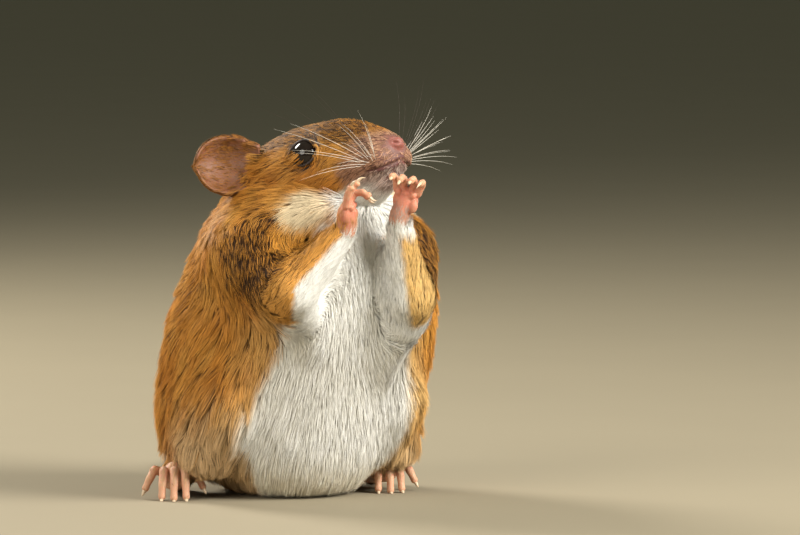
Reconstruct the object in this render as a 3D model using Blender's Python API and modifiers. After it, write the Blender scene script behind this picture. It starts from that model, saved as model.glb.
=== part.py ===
"""Harvest mouse, life size, sitting upright on its haunches with both forepaws at its mouth.

Metres, +Z up. The mouse faces -Y, so its right side is at -X. It rests on its hind feet, rump and
tail at z = 0. The solids reach out to the tips of the coat.
"""
from math import cos, pi, radians, sin

import bmesh
import bpy
from mathutils import Matrix, Vector

MM = 0.001

# Driving dimensions
GAP = 0.3 * MM
FLOOR = 0.6 * MM
RING_SIDES = 40
BODY_VOXEL = 0.32 * MM
PAW_VOXEL = 0.11 * MM

# The trunk: height, centre across, centre along, half width, half depth
TRUNK_MM = [
    (-1.4, -0.5, 5.2, 2.6, 3.0),
    (-0.6, -0.5, 5.1, 4.6, 5.4),
    (0.6, -0.5, 5.0, 6.6, 7.6),
    (2.5, -0.5, 4.9, 8.5, 9.6),
    (5.0, -0.5, 4.9, 10.4, 10.9),
    (8.4, -0.5, 4.8, 12.3, 11.8),
    (12.0, -0.4, 4.1, 13.7, 12.2),
    (14.3, -0.2, 3.3, 14.2, 12.3),
    (17.8, 0.0, 2.2, 14.2, 12.2),
    (20.5, 0.2, 1.5, 13.8, 12.0),
    (23.5, 0.3, 0.8, 13.1, 11.4),
    (26.5, 0.3, 0.3, 12.1, 10.7),
    (29.0, 0.1, -0.2, 10.6, 9.9),
    (31.5, 0.0, -0.8, 8.2, 8.4),
    (33.8, 0.0, -1.4, 4.2, 4.8),
]

# The head in its own frame: nose at -Y, origin between the eyes
HEAD_CENTRE = Vector((1.45, -4.15, 34.3)) * MM
HEAD_YAW = radians(26)
HEAD_PITCH = radians(24)
# Along the head, centre height, half width, half height
HEAD_MM = [
    (-8.3, -1.4, 1.0, 0.9),
    (-7.9, -1.4, 1.75, 1.6),
    (-7.1, -1.35, 2.5, 2.35),
    (-5.9, -1.15, 3.1, 3.1),
    (-4.4, -0.8, 3.75, 3.9),
    (-2.6, -0.4, 4.3, 4.45),
    (0.0, -0.2, 5.15, 4.95),
    (3.0, 0.0, 6.0, 5.4),
    (6.0, -0.2, 6.6, 5.7),
    (9.0, -0.7, 6.8, 5.8),
    (11.5, -1.3, 6.2, 5.3),
    (13.5, -2.0, 4.2, 3.6),
    (14.4, -2.3, 1.5, 1.3),
]
JAW_MM = [
    (-7.1, -3.5, 0.5, 0.4),
    (-6.6, -3.6, 1.1, 0.8),
    (-5.4, -3.7, 1.7, 1.2),
    (-3.2, -3.7, 2.6, 1.8),
    (0.0, -3.3, 3.6, 2.4),
    (4.0, -3.0, 4.6, 2.9),
    (8.0, -2.6, 4.0, 2.6),
]
WHISKER_PAD_MM = ((1.5, -6.3, -1.9), (1.5, 1.7, 1.35))
# Each side's whiskers fan out from a plug in the upper lip, in rows downward and columns back
PLUG_MM = ((2.05, -6.35, -1.7), (1.35, 1.5, 1.0))
WHISKER_ROWS = 4
WHISKER_COLUMNS = 4
WHISKER_RADII_MM = (0.11, 0.1, 0.085, 0.06)
# The first row's front root and heading, and how far both turn over the columns and rows
WHISKER_ROOT_WAY = (0.8, -0.75, 0.65)
WHISKER_ROOT_SPREAD = 1.1
WHISKER_ROOT_DEPTH = 0.75
WHISKER_WAY = (0.8, -0.75, 0.95)
WHISKER_SPREAD = 0.95
WHISKER_WOBBLE = 0.12
WHISKER_LENGTH_MM = 5.0
WHISKER_LONGER_MM = 6.5
LOWER_WHISKERS_SHORTER = 0.25
# The tips' bend outward, back and up, which turns downward over the rows
WHISKER_BEND = (0.1, 0.45, 0.35)
WHISKER_BEND_DOWN = 0.7
# The share of the length and of the bend that each of a whisker's points has
WHISKER_STATIONS = ((0.35, 0.0), (0.7, 0.06), (0.97, 0.17))
NOSE_PAD_MM = ((0.0, -8.3, -0.9), (0.88, 0.62, 0.62))
NOSTRIL_MM = ((0.34, -9.05, -1.1), (1.05, -8.15, -0.9))
NOSTRIL_RADIUS = 0.2 * MM
PHILTRUM_MM = ((0.0, -9.0, -1.4), (0.0, -8.3, -2.8))
MOUTH_MM = [(0.0, -8.3, -2.7), (0.9, -7.9, -2.9), (1.9, -7.1, -2.95), (2.8, -5.9, -2.8), (3.6, -4.7, -2.45)]
MOUTH_RADIUS = 0.2 * MM
LIP_MM = [(0.0, -7.25, -3.25), (0.9, -7.1, -3.25), (1.7, -6.4, -3.2), (2.4, -5.5, -3.1), (2.9, -4.7, -2.9)]
LIP_RADIUS = 0.34 * MM

EYE_CENTRE_MM = (4.0, 0.0, 1.3)
EYE_RADIUS = 1.5 * MM
EYE_AXIS = Vector((0.93, -0.30, 0.20)).normalized()
LID_OUT = 0.78 * MM
LID_RADIUS = 1.52 * MM
LID_THICKNESS = 0.3 * MM

EAR_ROOT_MM = (4.9, 5.6, 2.6)
EAR_AXIS = Vector((0.66, 0.70, 0.26)).normalized()
EAR_FACING = Vector((0.62, -0.76, 0.0)).normalized()
EAR_LENGTH = 6.6 * MM
EAR_WIDTH = 6.0 * MM
EAR_WAIST = 0.52
EAR_ROOT_SHARE = 0.62
EAR_TIP_SHARE = 0.18
EAR_CUP = 1.5 * MM
EAR_THICKNESS = 0.6 * MM
EAR_ROWS = 9
EAR_COLUMNS = 8

# The arms: shoulder, elbow and wrist of each side, with the radii there
ARM_MM = {
    "right": ((-8.0, -3.2, 25.4), (-6.4, -11.0, 21.8), (-1.1, -12.7, 28.3)),
    "left": ((7.4, -4.4, 25.2), (6.2, -11.2, 21.0), (4.5, -12.9, 29.3)),
}
UPPER_ARM_RADII_MM = (4.8, 3.0)
FOREARM_RADII_MM = (2.6, 1.35)

# The legs: haunch centre, knee, ankle, and the foot's toe end
HAUNCH_MM = {"right": (-9.3, 3.2, 9.7), "left": (7.6, 2.8, 9.4)}
HAUNCH_RADII_MM = {"right": (5.2, 9.5, 6.4), "left": (5.0, 9.2, 5.7)}
HAUNCH_PART_MM = (2.4, 0.4, 0.2)
KNEE_MM = {"right": (-10.8, 1.0, 5.4), "left": (9.0, 0.6, 5.4)}
ANKLE_MM = {"right": (-11.0, 9.2, 2.7), "left": (10.2, 8.6, 2.7)}
TOE_MM = {"right": (-14.9, -0.6, 0.8), "left": (8.3, -2.0, 0.8)}
SHANK_RADII_MM = (3.0, 1.7)
SHANK_TOP = 6.3 * MM
# The toes from the inner one: place across the foot, spread in degrees, length, and start along it
TOES = (
    (-1.5, -26, 3.0, -1.5),
    (-1.0, -3, 4.3, -0.1),
    (0.0, 0, 4.5, 0.1),
    (1.0, 3, 4.3, -0.1),
    (1.6, 24, 3.3, -1.3),
)
TOE_SHARES = (0.34, 0.36, 0.30)
TOE_BENDS = (12, -66, -22)
TOE_RADII_MM = (0.46, 0.42, 0.42, 0.32)
TOE_CLAW = 1.0 * MM
TOE_CLAW_RADIUS = 0.28 * MM
CLAW_LIFT = 0.12 * MM
# The sole from the heel to the knuckles, and the pads under the knuckles
HEEL_HEIGHT = 1.1 * MM
HEEL_BACK = 0.6 * MM
INSTEP_LENGTH = 3.4 * MM
INSTEP_RISE = 0.6 * MM
SOLE_LENGTH = 7.2 * MM
KNUCKLE_RISE = 1.5 * MM
SOLE_RADII_MM = (1.2, 1.15, 1.15)
PAD_DROP = 0.95 * MM
PAD_BACK = 0.7 * MM
PAD_RADII_MM = (1.4, 1.2, 0.9)
FINGER_CLAW = 0.85 * MM
FINGER_CLAW_RADIUS = 0.24 * MM
FINGER_SHARES = (0.42, 0.33, 0.25)
FINGER_RADII_MM = (0.36, 0.32, 0.34, 0.28)

# The tail: its middle line on the floor, and its radius from root to tip
TAIL_MM = [
    (-0.5, 10.5, 3.2),
    (-0.7, 14.5, 2.2),
    (-1.8, 20.0, 1.25),
    (-3.0, 27.0, 1.05),
    (-0.8, 34.0, 0.95),
    (5.4, 38.6, 0.85),
    (13.0, 39.2, 0.72),
    (19.6, 35.8, 0.6),
    (23.4, 30.4, 0.45),
]
TAIL_RADII_MM = [3.4, 2.1, 1.35, 1.2, 1.08, 0.95, 0.8, 0.62, 0.35]
TAIL_CUTS = {"tail_base": 0.33, "tail_middle": 0.66, "tail_tip": 1.0}
TAIL_ROOT_Y = 16.6 * MM
TAIL_RINGS = 9

# Where the whole is parted: the neck's upper cut and its depth, and how far outside a limb its cut runs
THROAT = Vector((1.0, -8.0, 29.6)) * MM
NECK_WAY = Vector((0.0, -0.12, 1.0)).normalized()
NECK_DEPTH = 3.0 * MM
MARGIN = 0.9 * MM

HEAD_TRIANGLES = 1700
TRUNK_TRIANGLES = 2200
PAW_TRIANGLES = 760
# The space left round a foot in the leg above it
FOOT_ROOM = 0.42 * MM
ROOM_VOXEL = 0.2 * MM
ROOM_TRIANGLES = 400

# The coat's colours and finish
FINISHES = {
    "coat": ((0.52, 0.27, 0.08, 1.0), 0.9),
    "belly_coat": ((0.82, 0.78, 0.68, 1.0), 0.9),
    "bare_skin": ((0.78, 0.38, 0.30, 1.0), 0.55),
    "tail_skin": ((0.42, 0.28, 0.18, 1.0), 0.7),
    "eye": ((0.01, 0.008, 0.006, 1.0), 0.05),
}


def mm(point):
    return Vector(point) * MM


def remove_scene_objects():
    for thing in list(bpy.data.objects):
        bpy.data.objects.remove(thing, do_unlink=True)


def new_collection(name):
    collection = bpy.data.collections.new(name)
    bpy.context.scene.collection.children.link(collection)
    return collection


def finish(name):
    material = bpy.data.materials.new(name)
    material.use_nodes = True
    color, roughness = FINISHES[name]
    surface = material.node_tree.nodes["Principled BSDF"]
    surface.inputs["Base Color"].default_value = color
    surface.inputs["Roughness"].default_value = roughness
    surface.inputs["Metallic"].default_value = 0.0
    material.diffuse_color = color
    return material


def smooth_rows(rows, steps):
    """Rows on a Catmull-Rom curve through the given ones, with the same number in each span."""
    out = []
    last = len(rows) - 1
    for span in range(last):
        before, here = rows[max(span - 1, 0)], rows[span]
        there, after = rows[span + 1], rows[min(span + 2, last)]
        for step in range(steps):
            t = step / steps
            out.append(tuple(
                0.5 * (2 * b + (c - a) * t + (2 * a - 5 * b + 4 * c - d) * t * t
                       + (3 * b - a - 3 * c + d) * t * t * t)
                for a, b, c, d in zip(before, here, there, after)))
    out.append(tuple(rows[-1]))
    return out


def lofted(name, rings):
    """A closed mesh object through rings of points, with a flat cap on each end."""
    work = bmesh.new()
    loops = [[work.verts.new(point) for point in ring] for ring in rings]
    sides = len(loops[0])
    for near, far in zip(loops, loops[1:]):
        for k in range(sides):
            work.faces.new((near[k], near[(k + 1) % sides], far[(k + 1) % sides], far[k]))
    work.faces.new(list(reversed(loops[0])))
    work.faces.new(loops[-1])
    bmesh.ops.recalc_face_normals(work, faces=work.faces)
    return from_bmesh(name, work)


def from_bmesh(name, work):
    mesh = bpy.data.meshes.new(name)
    work.to_mesh(mesh)
    work.free()
    thing = bpy.data.objects.new(name, mesh)
    cutters.objects.link(thing)
    return thing


def ellipse(centre, across, up, half_across, half_up, sides=RING_SIDES):
    points = []
    for k in range(sides):
        angle = 2 * pi * k / sides
        points.append(centre + across * (half_across * cos(angle)) + up * (half_up * sin(angle)))
    return points


def tube(name, points, radii, sides=24, steps=6, round_ends=True):
    """A round solid along a smooth line, with a radius for each of its points."""
    turns = (20, 40, 60, 80) if sides > 12 else (32, 66)
    rows = smooth_rows([(*point, radius) for point, radius in zip(points, radii)], steps)
    centres = [Vector(row[:3]) for row in rows]
    sizes = [row[3] for row in rows]
    rings = []
    across = None
    for k, centre in enumerate(centres):
        along = (centres[min(k + 1, len(centres) - 1)] - centres[max(k - 1, 0)]).normalized()
        if across is None:
            across = along.orthogonal().normalized()
        across = (across - along * across.dot(along)).normalized()
        up = along.cross(across)
        if round_ends and k == 0:
            for turn in reversed(turns):
                size = sizes[0] * cos(radians(turn))
                middle = centre - along * sizes[0] * sin(radians(turn))
                rings.append(ellipse(middle, across, up, size, size, sides))
        rings.append(ellipse(centre, across, up, sizes[k], sizes[k], sides))
        if round_ends and k == len(centres) - 1:
            for turn in turns:
                size = sizes[k] * cos(radians(turn))
                middle = centre + along * sizes[k] * sin(radians(turn))
                rings.append(ellipse(middle, across, up, size, size, sides))
    return lofted(name, rings)


def ball(name, centre, radii, turn=None, segments=32, rings=20):
    work = bmesh.new()
    bmesh.ops.create_uvsphere(work, u_segments=segments, v_segments=rings, radius=1.0)
    matrix = Matrix.Translation(centre) @ (turn or Matrix()) @ Matrix.Diagonal((*radii, 1.0))
    bmesh.ops.transform(work, matrix=matrix, verts=work.verts)
    return from_bmesh(name, work)


def block(name, low, high):
    work = bmesh.new()
    bmesh.ops.create_cube(work, size=1.0)
    low, high = Vector(low), Vector(high)
    matrix = Matrix.Translation((low + high) / 2) @ Matrix.Diagonal((*(high - low), 1.0))
    bmesh.ops.transform(work, matrix=matrix, verts=work.verts)
    return from_bmesh(name, work)


def half_space(name, point, direction, reach=90 * MM):
    """A block with one face through a point, filling the side that the direction points to."""
    thing = block(name, (-reach, -reach, 0), (reach, reach, 2 * reach))
    turn = direction.normalized().to_track_quat("Z", "Y").to_matrix().to_4x4()
    thing.data.transform(Matrix.Translation(point) @ turn)
    return thing


def evaluated(thing):
    bpy.context.view_layer.update()
    return thing.evaluated_get(bpy.context.evaluated_depsgraph_get())


def settle(thing):
    """Replaces an object's mesh by what its modifiers make of it."""
    mesh = bpy.data.meshes.new_from_object(evaluated(thing))
    thing.modifiers.clear()
    thing.data = mesh
    return thing


def keep_largest(thing):
    """Drops every closed surface of a mesh but the largest."""
    work = bmesh.new()
    work.from_mesh(thing.data)
    bmesh.ops.remove_doubles(work, verts=work.verts, dist=0.002 * MM)
    left = set(work.faces)
    islands = []
    while left:
        front = [left.pop()]
        island = list(front)
        while front:
            face = front.pop()
            for edge in face.edges:
                for other in edge.link_faces:
                    if other in left:
                        left.remove(other)
                        front.append(other)
                        island.append(other)
        islands.append(island)
    islands.sort(key=lambda island: sum(face.calc_area() for face in island))
    for island in islands[:-1]:
        bmesh.ops.delete(work, geom=island, context="FACES")
    loose = [vert for vert in work.verts if not vert.link_faces]
    bmesh.ops.delete(work, geom=loose, context="VERTS")
    bmesh.ops.triangulate(work, faces=work.faces)
    work.to_mesh(thing.data)
    work.free()
    return thing


def is_closed(mesh):
    """True where a mesh has faces and each of its edges joins two of them."""
    work = bmesh.new()
    work.from_mesh(mesh)
    sound = len(work.faces) > 0 and all(edge.is_manifold for edge in work.edges)
    work.free()
    return sound


def cut(thing, operation, tools):
    """Applies Booleans with the given tool objects, in turn, by the second solver where the first fails."""
    for tool in tools:
        before = thing.data
        for solver in ("EXACT", "MANIFOLD"):
            thing.data = before
            modifier = thing.modifiers.new("cut", "BOOLEAN")
            modifier.operation = operation
            modifier.solver = solver
            modifier.object = tool
            settle(thing)
            if is_closed(thing.data):
                break
    return thing


def copy_of(thing, name):
    twin = thing.copy()
    twin.data = thing.data.copy()
    twin.name = name
    cutters.objects.link(twin)
    return twin


def fused(name, pieces, voxel, smoothing, passes, triangles):
    """One skin round overlapping pieces: remeshed, smoothed and thinned to a number of triangles."""
    work = bmesh.new()
    for piece in pieces:
        work.from_mesh(piece.data)
    body = from_bmesh(name, work)
    remesh = body.modifiers.new("skin", "REMESH")
    remesh.mode = "VOXEL"
    remesh.voxel_size = voxel
    soften = body.modifiers.new("soften", "SMOOTH")
    soften.factor = smoothing
    soften.iterations = passes
    settle(body)
    if triangles:
        thin_out(body, triangles)
    return body


def thin_out(thing, triangles):
    thing.data.calc_loop_triangles()
    thin = thing.modifiers.new("thin", "DECIMATE")
    thin.ratio = min(1.0, triangles / len(thing.data.loop_triangles))
    settle(thing)
    return keep_largest(thing)


def grown(thing, name, distance):
    """A copy of a closed mesh with its surface moved outward."""
    twin = copy_of(thing, name)
    work = bmesh.new()
    work.from_mesh(twin.data)
    work.normal_update()
    moves = [(vert, vert.normal * distance) for vert in work.verts]
    for vert, move in moves:
        vert.co += move
    work.to_mesh(twin.data)
    work.free()
    return twin


def head_matrix():
    turn = Matrix.Rotation(HEAD_YAW, 4, "Z") @ Matrix.Rotation(-HEAD_PITCH, 4, "X")
    return Matrix.Translation(HEAD_CENTRE) @ turn


def in_head(thing):
    thing.data.transform(head_matrix())
    return thing


def sided(point, side):
    """A point given for the left side, mirrored for the right one."""
    return Vector((point[0] * side, point[1], point[2]))


def trunk():
    rings = []
    for height, across, along, width, depth in smooth_rows(TRUNK_MM, 4):
        centre = mm((across, along, height))
        rings.append(ellipse(centre, Vector((1, 0, 0)), Vector((0, 1, 0)), width * MM, depth * MM))
    return lofted("trunk", rings)


def head_loft(name, rows):
    rings = []
    for along, height, width, tall in smooth_rows(rows, 4):
        centre = mm((0, along, height))
        rings.append(ellipse(centre, Vector((1, 0, 0)), Vector((0, 0, 1)), width * MM, tall * MM))
    return in_head(lofted(name, rings))


def neck_core():
    nape = head_matrix() @ mm((0, 9.0, -1.2))
    shoulders = mm((1.0, -0.8, 26.0))
    return tube("neck_core", [shoulders, (shoulders + nape) / 2, nape], [9.2 * MM, 8.0 * MM, 6.0 * MM])


def arm_points(side_name):
    return [mm(point) for point in ARM_MM[side_name]]


def upper_arm_tube(side_name, extra=0.0, sides=24, steps=6):
    shoulder, elbow, wrist = arm_points(side_name)
    radii = [radius * MM + extra for radius in UPPER_ARM_RADII_MM]
    return tube("upper_arm_tube", [shoulder, elbow], radii, sides, steps)


def forearm_tube(side_name, extra=0.0, sides=24, steps=6):
    shoulder, elbow, wrist = arm_points(side_name)
    radii = [radius * MM + extra for radius in FOREARM_RADII_MM]
    beyond = wrist + (wrist - elbow).normalized() * 1.2 * MM
    middle = (elbow + wrist) / 2
    return tube("forearm_tube", [elbow, middle, beyond], [radii[0], sum(radii) / 2, radii[1]], sides, steps)


def haunch_ball(side_name):
    radii = [radius * MM for radius in HAUNCH_RADII_MM[side_name]]
    return ball("haunch", mm(HAUNCH_MM[side_name]), radii, Matrix.Rotation(radians(-14), 4, "X"))


def leg_part(side_name, extra=0.0):
    """The solid that a leg is parted by, set outward so that it meets the flank steeply."""
    side = 1 if side_name == "left" else -1
    radii = [radius * MM + MARGIN + extra for radius in HAUNCH_RADII_MM[side_name]]
    region = ball("haunch_part", mm(HAUNCH_MM[side_name]) + sided(mm(HAUNCH_PART_MM), side), radii,
                  Matrix.Rotation(radians(-14), 4, "X"), 14, 10)
    return cut(region, "UNION", [shank_tube(side_name, MARGIN + extra, 12, 2)])


def shank_tube(side_name, extra=0.0, sides=24, steps=6):
    knee, ankle = mm(KNEE_MM[side_name]), mm(ANKLE_MM[side_name])
    radii = [radius * MM + extra for radius in SHANK_RADII_MM]
    middle = (knee + ankle) / 2
    return tube("shank", [knee, middle, ankle], [radii[0], sum(radii) / 2, radii[1]], sides, steps)


def tail_root():
    """The first stretch of the tail, which the rump's skin runs out onto."""
    points = [mm(point) + Vector((0, 0, FLOOR)) for point in TAIL_MM[:4]]
    return tube("tail_root", points, [radius * MM for radius in TAIL_RADII_MM[:4]])


def claw_between(start, end, radius):
    radii = [radius, radius * 0.75, radius * 0.3]
    return tube("claw", [start, (start + end) / 2, end], radii, sides=10, steps=2)


def digit(name, start, direction, bend_axis, lengths, bends, radii):
    """The joints of a toe or finger, each segment turned about the bend axis from the one before."""
    points = [Vector(start)]
    heading = direction.normalized()
    for length, bend in zip(lengths, bends):
        heading = Matrix.Rotation(bend, 3, bend_axis) @ heading
        points.append(points[-1] + heading * length)
    return tube(name, points, radii, sides=14, steps=4), points, heading


def hindfoot(side_name):
    """A long flat foot from the heel, with five toes arched down to the floor."""
    side = 1 if side_name == "left" else -1
    ankle, toes = mm(ANKLE_MM[side_name]), mm(TOE_MM[side_name])
    forward = (toes - ankle)
    forward.z = 0
    forward.normalize()
    outward = Vector((-forward.y, forward.x, 0)) * side
    if outward.x * side < 0:
        outward = -outward
    up = Vector((0, 0, 1))
    heel = Vector((ankle.x, ankle.y, FLOOR)) + up * HEEL_HEIGHT - forward * HEEL_BACK
    instep = heel + forward * INSTEP_LENGTH + up * INSTEP_RISE
    knuckles = heel + forward * SOLE_LENGTH + up * KNUCKLE_RISE
    pads = knuckles - up * PAD_DROP - forward * PAD_BACK
    pieces = [
        tube("sole", [heel, instep, knuckles], [radius * MM for radius in SOLE_RADII_MM]),
        ball("pads", pads, [radius * MM for radius in PAD_RADII_MM]),
    ]
    bend_axis = forward.cross(up)
    for offset, splay, length, back in TOES:
        start = knuckles + outward * offset * MM + forward * back * MM
        heading = Matrix.Rotation(radians(splay) * side, 3, "Z") @ forward
        lengths = [length * MM * share for share in TOE_SHARES]
        toe, points, last = digit(
            "toe", start, heading, bend_axis, lengths,
            [radians(bend) for bend in TOE_BENDS], [radius * MM for radius in TOE_RADII_MM])
        pieces.append(toe)
        tip = points[-1]
        claw_end = tip + (last + forward * 0.5).normalized() * TOE_CLAW
        claw_end.z = max(claw_end.z, FLOOR + CLAW_LIFT)
        pieces.append(claw_between(tip, claw_end, TOE_CLAW_RADIUS))
    return pieces


HANDS = {
    # Palm centre, palm's way from wrist to knuckles, the palm's inner face, then each finger: its
    # place across the palm, its spread, its length and its curl in degrees
    "right": ((-1.1, -13.1, 30.1), (0.05, -0.2, 0.97), (0.80, -0.50, -0.1),
              ((-1.1, -14, 2.1, 8), (-0.4, -2, 2.4, 14), (0.42, 6, 2.6, 56), (1.1, 18, 2.3, 60))),
    "left": ((5.1, -13.2, 31.2), (0.14, -0.2, 0.95), (-0.55, -0.80, 0.1),
             ((-1.1, -16, 2.5, 46), (-0.4, -5, 2.9, 52), (0.42, 6, 2.9, 48), (1.1, 17, 2.5, 42))),
}
PALM_RADII_MM = (1.3, 0.75, 1.4)
WRIST_RADII_MM = (1.2, 1.1, 0.95)
# The pad at the palm's heel and the thumb: place across, out of and along the palm, and radii
HEEL_PAD_MM = ((0.0, 0.5, -0.8), (0.6, 0.45, 0.5))
THUMB_MM = ((1.05, 0.5, -0.3), (0.42, 0.45, 0.7))


def forepaw(side_name):
    """A palm with four curled fingers and a thumb stub, raised from the wrist."""
    centre, way, face, fingers = HANDS[side_name]
    shoulder, elbow, wrist = arm_points(side_name)
    centre = mm(centre)
    way = Vector(way).normalized()
    face = Vector(face)
    face = (face - way * face.dot(way)).normalized()
    across = way.cross(face)
    turn = Matrix((across, face, way)).transposed().to_4x4()
    pieces = [
        tube("wrist", [wrist - (wrist - elbow).normalized() * 0.4 * MM, wrist, centre],
             [radius * MM for radius in WRIST_RADII_MM]),
        ball("palm", centre, [radius * MM for radius in PALM_RADII_MM], turn),
        ball("heel_pad", centre + turn.to_3x3() @ mm(HEEL_PAD_MM[0]), mm(HEEL_PAD_MM[1]), turn),
        ball("thumb", centre + turn.to_3x3() @ mm(THUMB_MM[0]), mm(THUMB_MM[1]), turn),
    ]
    for offset, spread, length, curl in fingers:
        start = centre + across * offset * MM + way * 0.95 * MM
        heading = Matrix.Rotation(-radians(spread), 3, face) @ way
        axis = face.cross(heading).normalized()
        lengths = [length * MM * share for share in FINGER_SHARES]
        bend = -radians(curl)
        joint, points, last = digit(
            "finger", start, heading, axis, lengths,
            [bend * 0.35, bend, bend * 0.7], [radius * MM for radius in FINGER_RADII_MM])
        pieces.append(joint)
        claw_way = (Matrix.Rotation(bend * 0.4, 3, axis) @ last).normalized()
        pieces.append(claw_between(points[-1], points[-1] + claw_way * FINGER_CLAW, FINGER_CLAW_RADIUS))
    return pieces


def ear_share(v):
    """The ear's width at a share of its height: a circle's chord above, narrowing to the root below."""
    if v > EAR_WAIST:
        height = (v - EAR_WAIST) / (1 - EAR_WAIST)
        return max((1 - height * height) ** 0.5, EAR_TIP_SHARE)
    return EAR_ROOT_SHARE + (1 - EAR_ROOT_SHARE) * sin(pi / 2 * v / EAR_WAIST)


def ear_shell(side):
    """A rounded cup, open to the front and side, narrowing to its root."""
    axis, facing = sided(EAR_AXIS, side), sided(EAR_FACING, side)
    facing = (facing - axis * facing.dot(axis)).normalized()
    across = axis.cross(facing)
    root = sided(mm(EAR_ROOT_MM), side)
    work = bmesh.new()
    grid = []
    for j in range(EAR_ROWS + 1):
        v = j / EAR_ROWS
        width = EAR_WIDTH / 2 * ear_share(v)
        line = []
        for i in range(EAR_COLUMNS + 1):
            u = 2 * i / EAR_COLUMNS - 1
            lift = EAR_LENGTH * v * (1 - 0.05 * u * u)
            hollow = EAR_CUP * (u * u - 0.7) * (0.6 + 0.4 * sin(pi * v))
            back = -EAR_CUP * 0.35 * sin(pi * v) + EAR_CUP * 0.5 * v ** 3
            spot = root + axis * lift + across * (width * u) + facing * (hollow + back)
            line.append(work.verts.new(spot))
        grid.append(line)
    for near, far in zip(grid, grid[1:]):
        for i in range(EAR_COLUMNS):
            work.faces.new((near[i], near[i + 1], far[i + 1], far[i]))
    shell = from_bmesh("ear_shell", work)
    wall = shell.modifiers.new("wall", "SOLIDIFY")
    wall.thickness = EAR_THICKNESS
    wall.offset = 0.0
    wall.use_even_offset = False
    settle(shell)
    work = bmesh.new()
    work.from_mesh(shell.data)
    bmesh.ops.recalc_face_normals(work, faces=work.faces)
    work.to_mesh(shell.data)
    work.free()
    return in_head(shell)


def eye_ball(side, extra=0.0, segments=14, rings=8):
    radius = EYE_RADIUS + extra
    return in_head(ball("eye_ball", sided(mm(EYE_CENTRE_MM), side), (radius,) * 3, None, segments, rings))


def lid_ring(side):
    """A raised rim round the eye, drawn out to a point in front and behind."""
    axis = sided(EYE_AXIS, side)
    centre = sided(mm(EYE_CENTRE_MM), side) + axis * LID_OUT
    front = Vector((0, -1, -0.15))
    front = (front - axis * front.dot(axis)).normalized()
    up = axis.cross(front)
    count, sides = 22, 6
    work = bmesh.new()
    loops = []
    for k in range(count):
        angle = 2 * pi * k / count
        stretch = 1.0 + 0.2 * abs(cos(angle)) ** 5
        spoke = front * (cos(angle) * stretch) + up * (sin(angle) * 0.94)
        middle = centre + spoke * LID_RADIUS
        spoke = spoke.normalized()
        loop = []
        for s in range(sides):
            turn = 2 * pi * s / sides
            loop.append(work.verts.new(middle + (spoke * cos(turn) + axis * sin(turn)) * LID_THICKNESS))
        loops.append(loop)
    for k in range(count):
        near, far = loops[k], loops[(k + 1) % count]
        for s in range(sides):
            work.faces.new((near[s], near[(s + 1) % sides], far[(s + 1) % sides], far[s]))
    bmesh.ops.recalc_face_normals(work, faces=work.faces)
    return in_head(from_bmesh("lid_ring", work))


def mirrored_line(half_line):
    """A line over both sides of the head, from the half that starts at its middle."""
    left = [mm(point) for point in half_line]
    return [sided(point, -1) for point in reversed(left[1:])] + left


def whisker_line(row, column):
    """The root, bends and tip of one of the left side's whiskers."""
    down, back = row / (WHISKER_ROWS - 1), column / (WHISKER_COLUMNS - 1)
    wobble = WHISKER_WOBBLE * sin(5.1 * row + 3.7 * column)
    centre, radii = PLUG_MM
    spot = (Vector(WHISKER_ROOT_WAY) + Vector((0, back, -down)) * WHISKER_ROOT_SPREAD).normalized()
    root = Vector(centre) + Vector([part * radius * WHISKER_ROOT_DEPTH for part, radius in zip(spot, radii)])
    turn = Vector((0, WHISKER_SPREAD * back + wobble, -WHISKER_SPREAD * down))
    way = (Vector(WHISKER_WAY) + turn).normalized()
    length = WHISKER_LENGTH_MM + WHISKER_LONGER_MM * back
    length *= (1 + wobble) * (1 - LOWER_WHISKERS_SHORTER * down)
    bend = (Vector(WHISKER_BEND) - Vector((0, 0, WHISKER_BEND_DOWN * down))) * length
    return [root] + [root + way * length * along + bend * bent for along, bent in WHISKER_STATIONS]


def plug(side, extra=0.0):
    centre, radii = PLUG_MM
    radii = [radius * MM + extra for radius in radii]
    return in_head(ball("plug", sided(mm(centre), side), radii, None, 16, 10))


def whisker_tubes(side, extra=0.0):
    """Every second one of a side's whiskers."""
    radii = [radius * MM + extra for radius in WHISKER_RADII_MM]
    tubes = []
    for row in range(WHISKER_ROWS):
        for column in range(WHISKER_COLUMNS):
            if (row + column) % 2:
                line = [sided(mm(point), side) for point in whisker_line(row, column)]
                tubes.append(in_head(tube("whisker", line, radii, 6, 3)))
    return tubes


def head_tools():
    """What is added to the head's skin, and what is carved from it."""
    nose_centre, nose_radii = NOSE_PAD_MM
    adds = [
        in_head(ball("nose_pad", mm(nose_centre), [radius * MM for radius in nose_radii], None, 14, 8)),
        in_head(tube("lower_lip", mirrored_line(LIP_MM), [LIP_RADIUS] * (2 * len(LIP_MM) - 1), 8, 2)),
        lid_ring(1),
        lid_ring(-1),
    ]
    mouth = mirrored_line(MOUTH_MM)
    carves = [
        in_head(tube("mouth_line", mouth, [MOUTH_RADIUS] * len(mouth), 8, 2)),
        in_head(tube("philtrum", [mm(point) for point in PHILTRUM_MM], [0.13 * MM] * 2, 6, 2)),
        eye_ball(1, GAP),
        eye_ball(-1, GAP),
        plug(1, GAP),
        plug(-1, GAP),
        *whisker_tubes(1, GAP),
        *whisker_tubes(-1, GAP),
    ]
    for side in (1, -1):
        start, end = (sided(mm(point), side) for point in NOSTRIL_MM)
        carves.append(in_head(tube("nostril", [start, end], [NOSTRIL_RADIUS, NOSTRIL_RADIUS * 0.7], 8, 2)))
    return adds, carves


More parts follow.
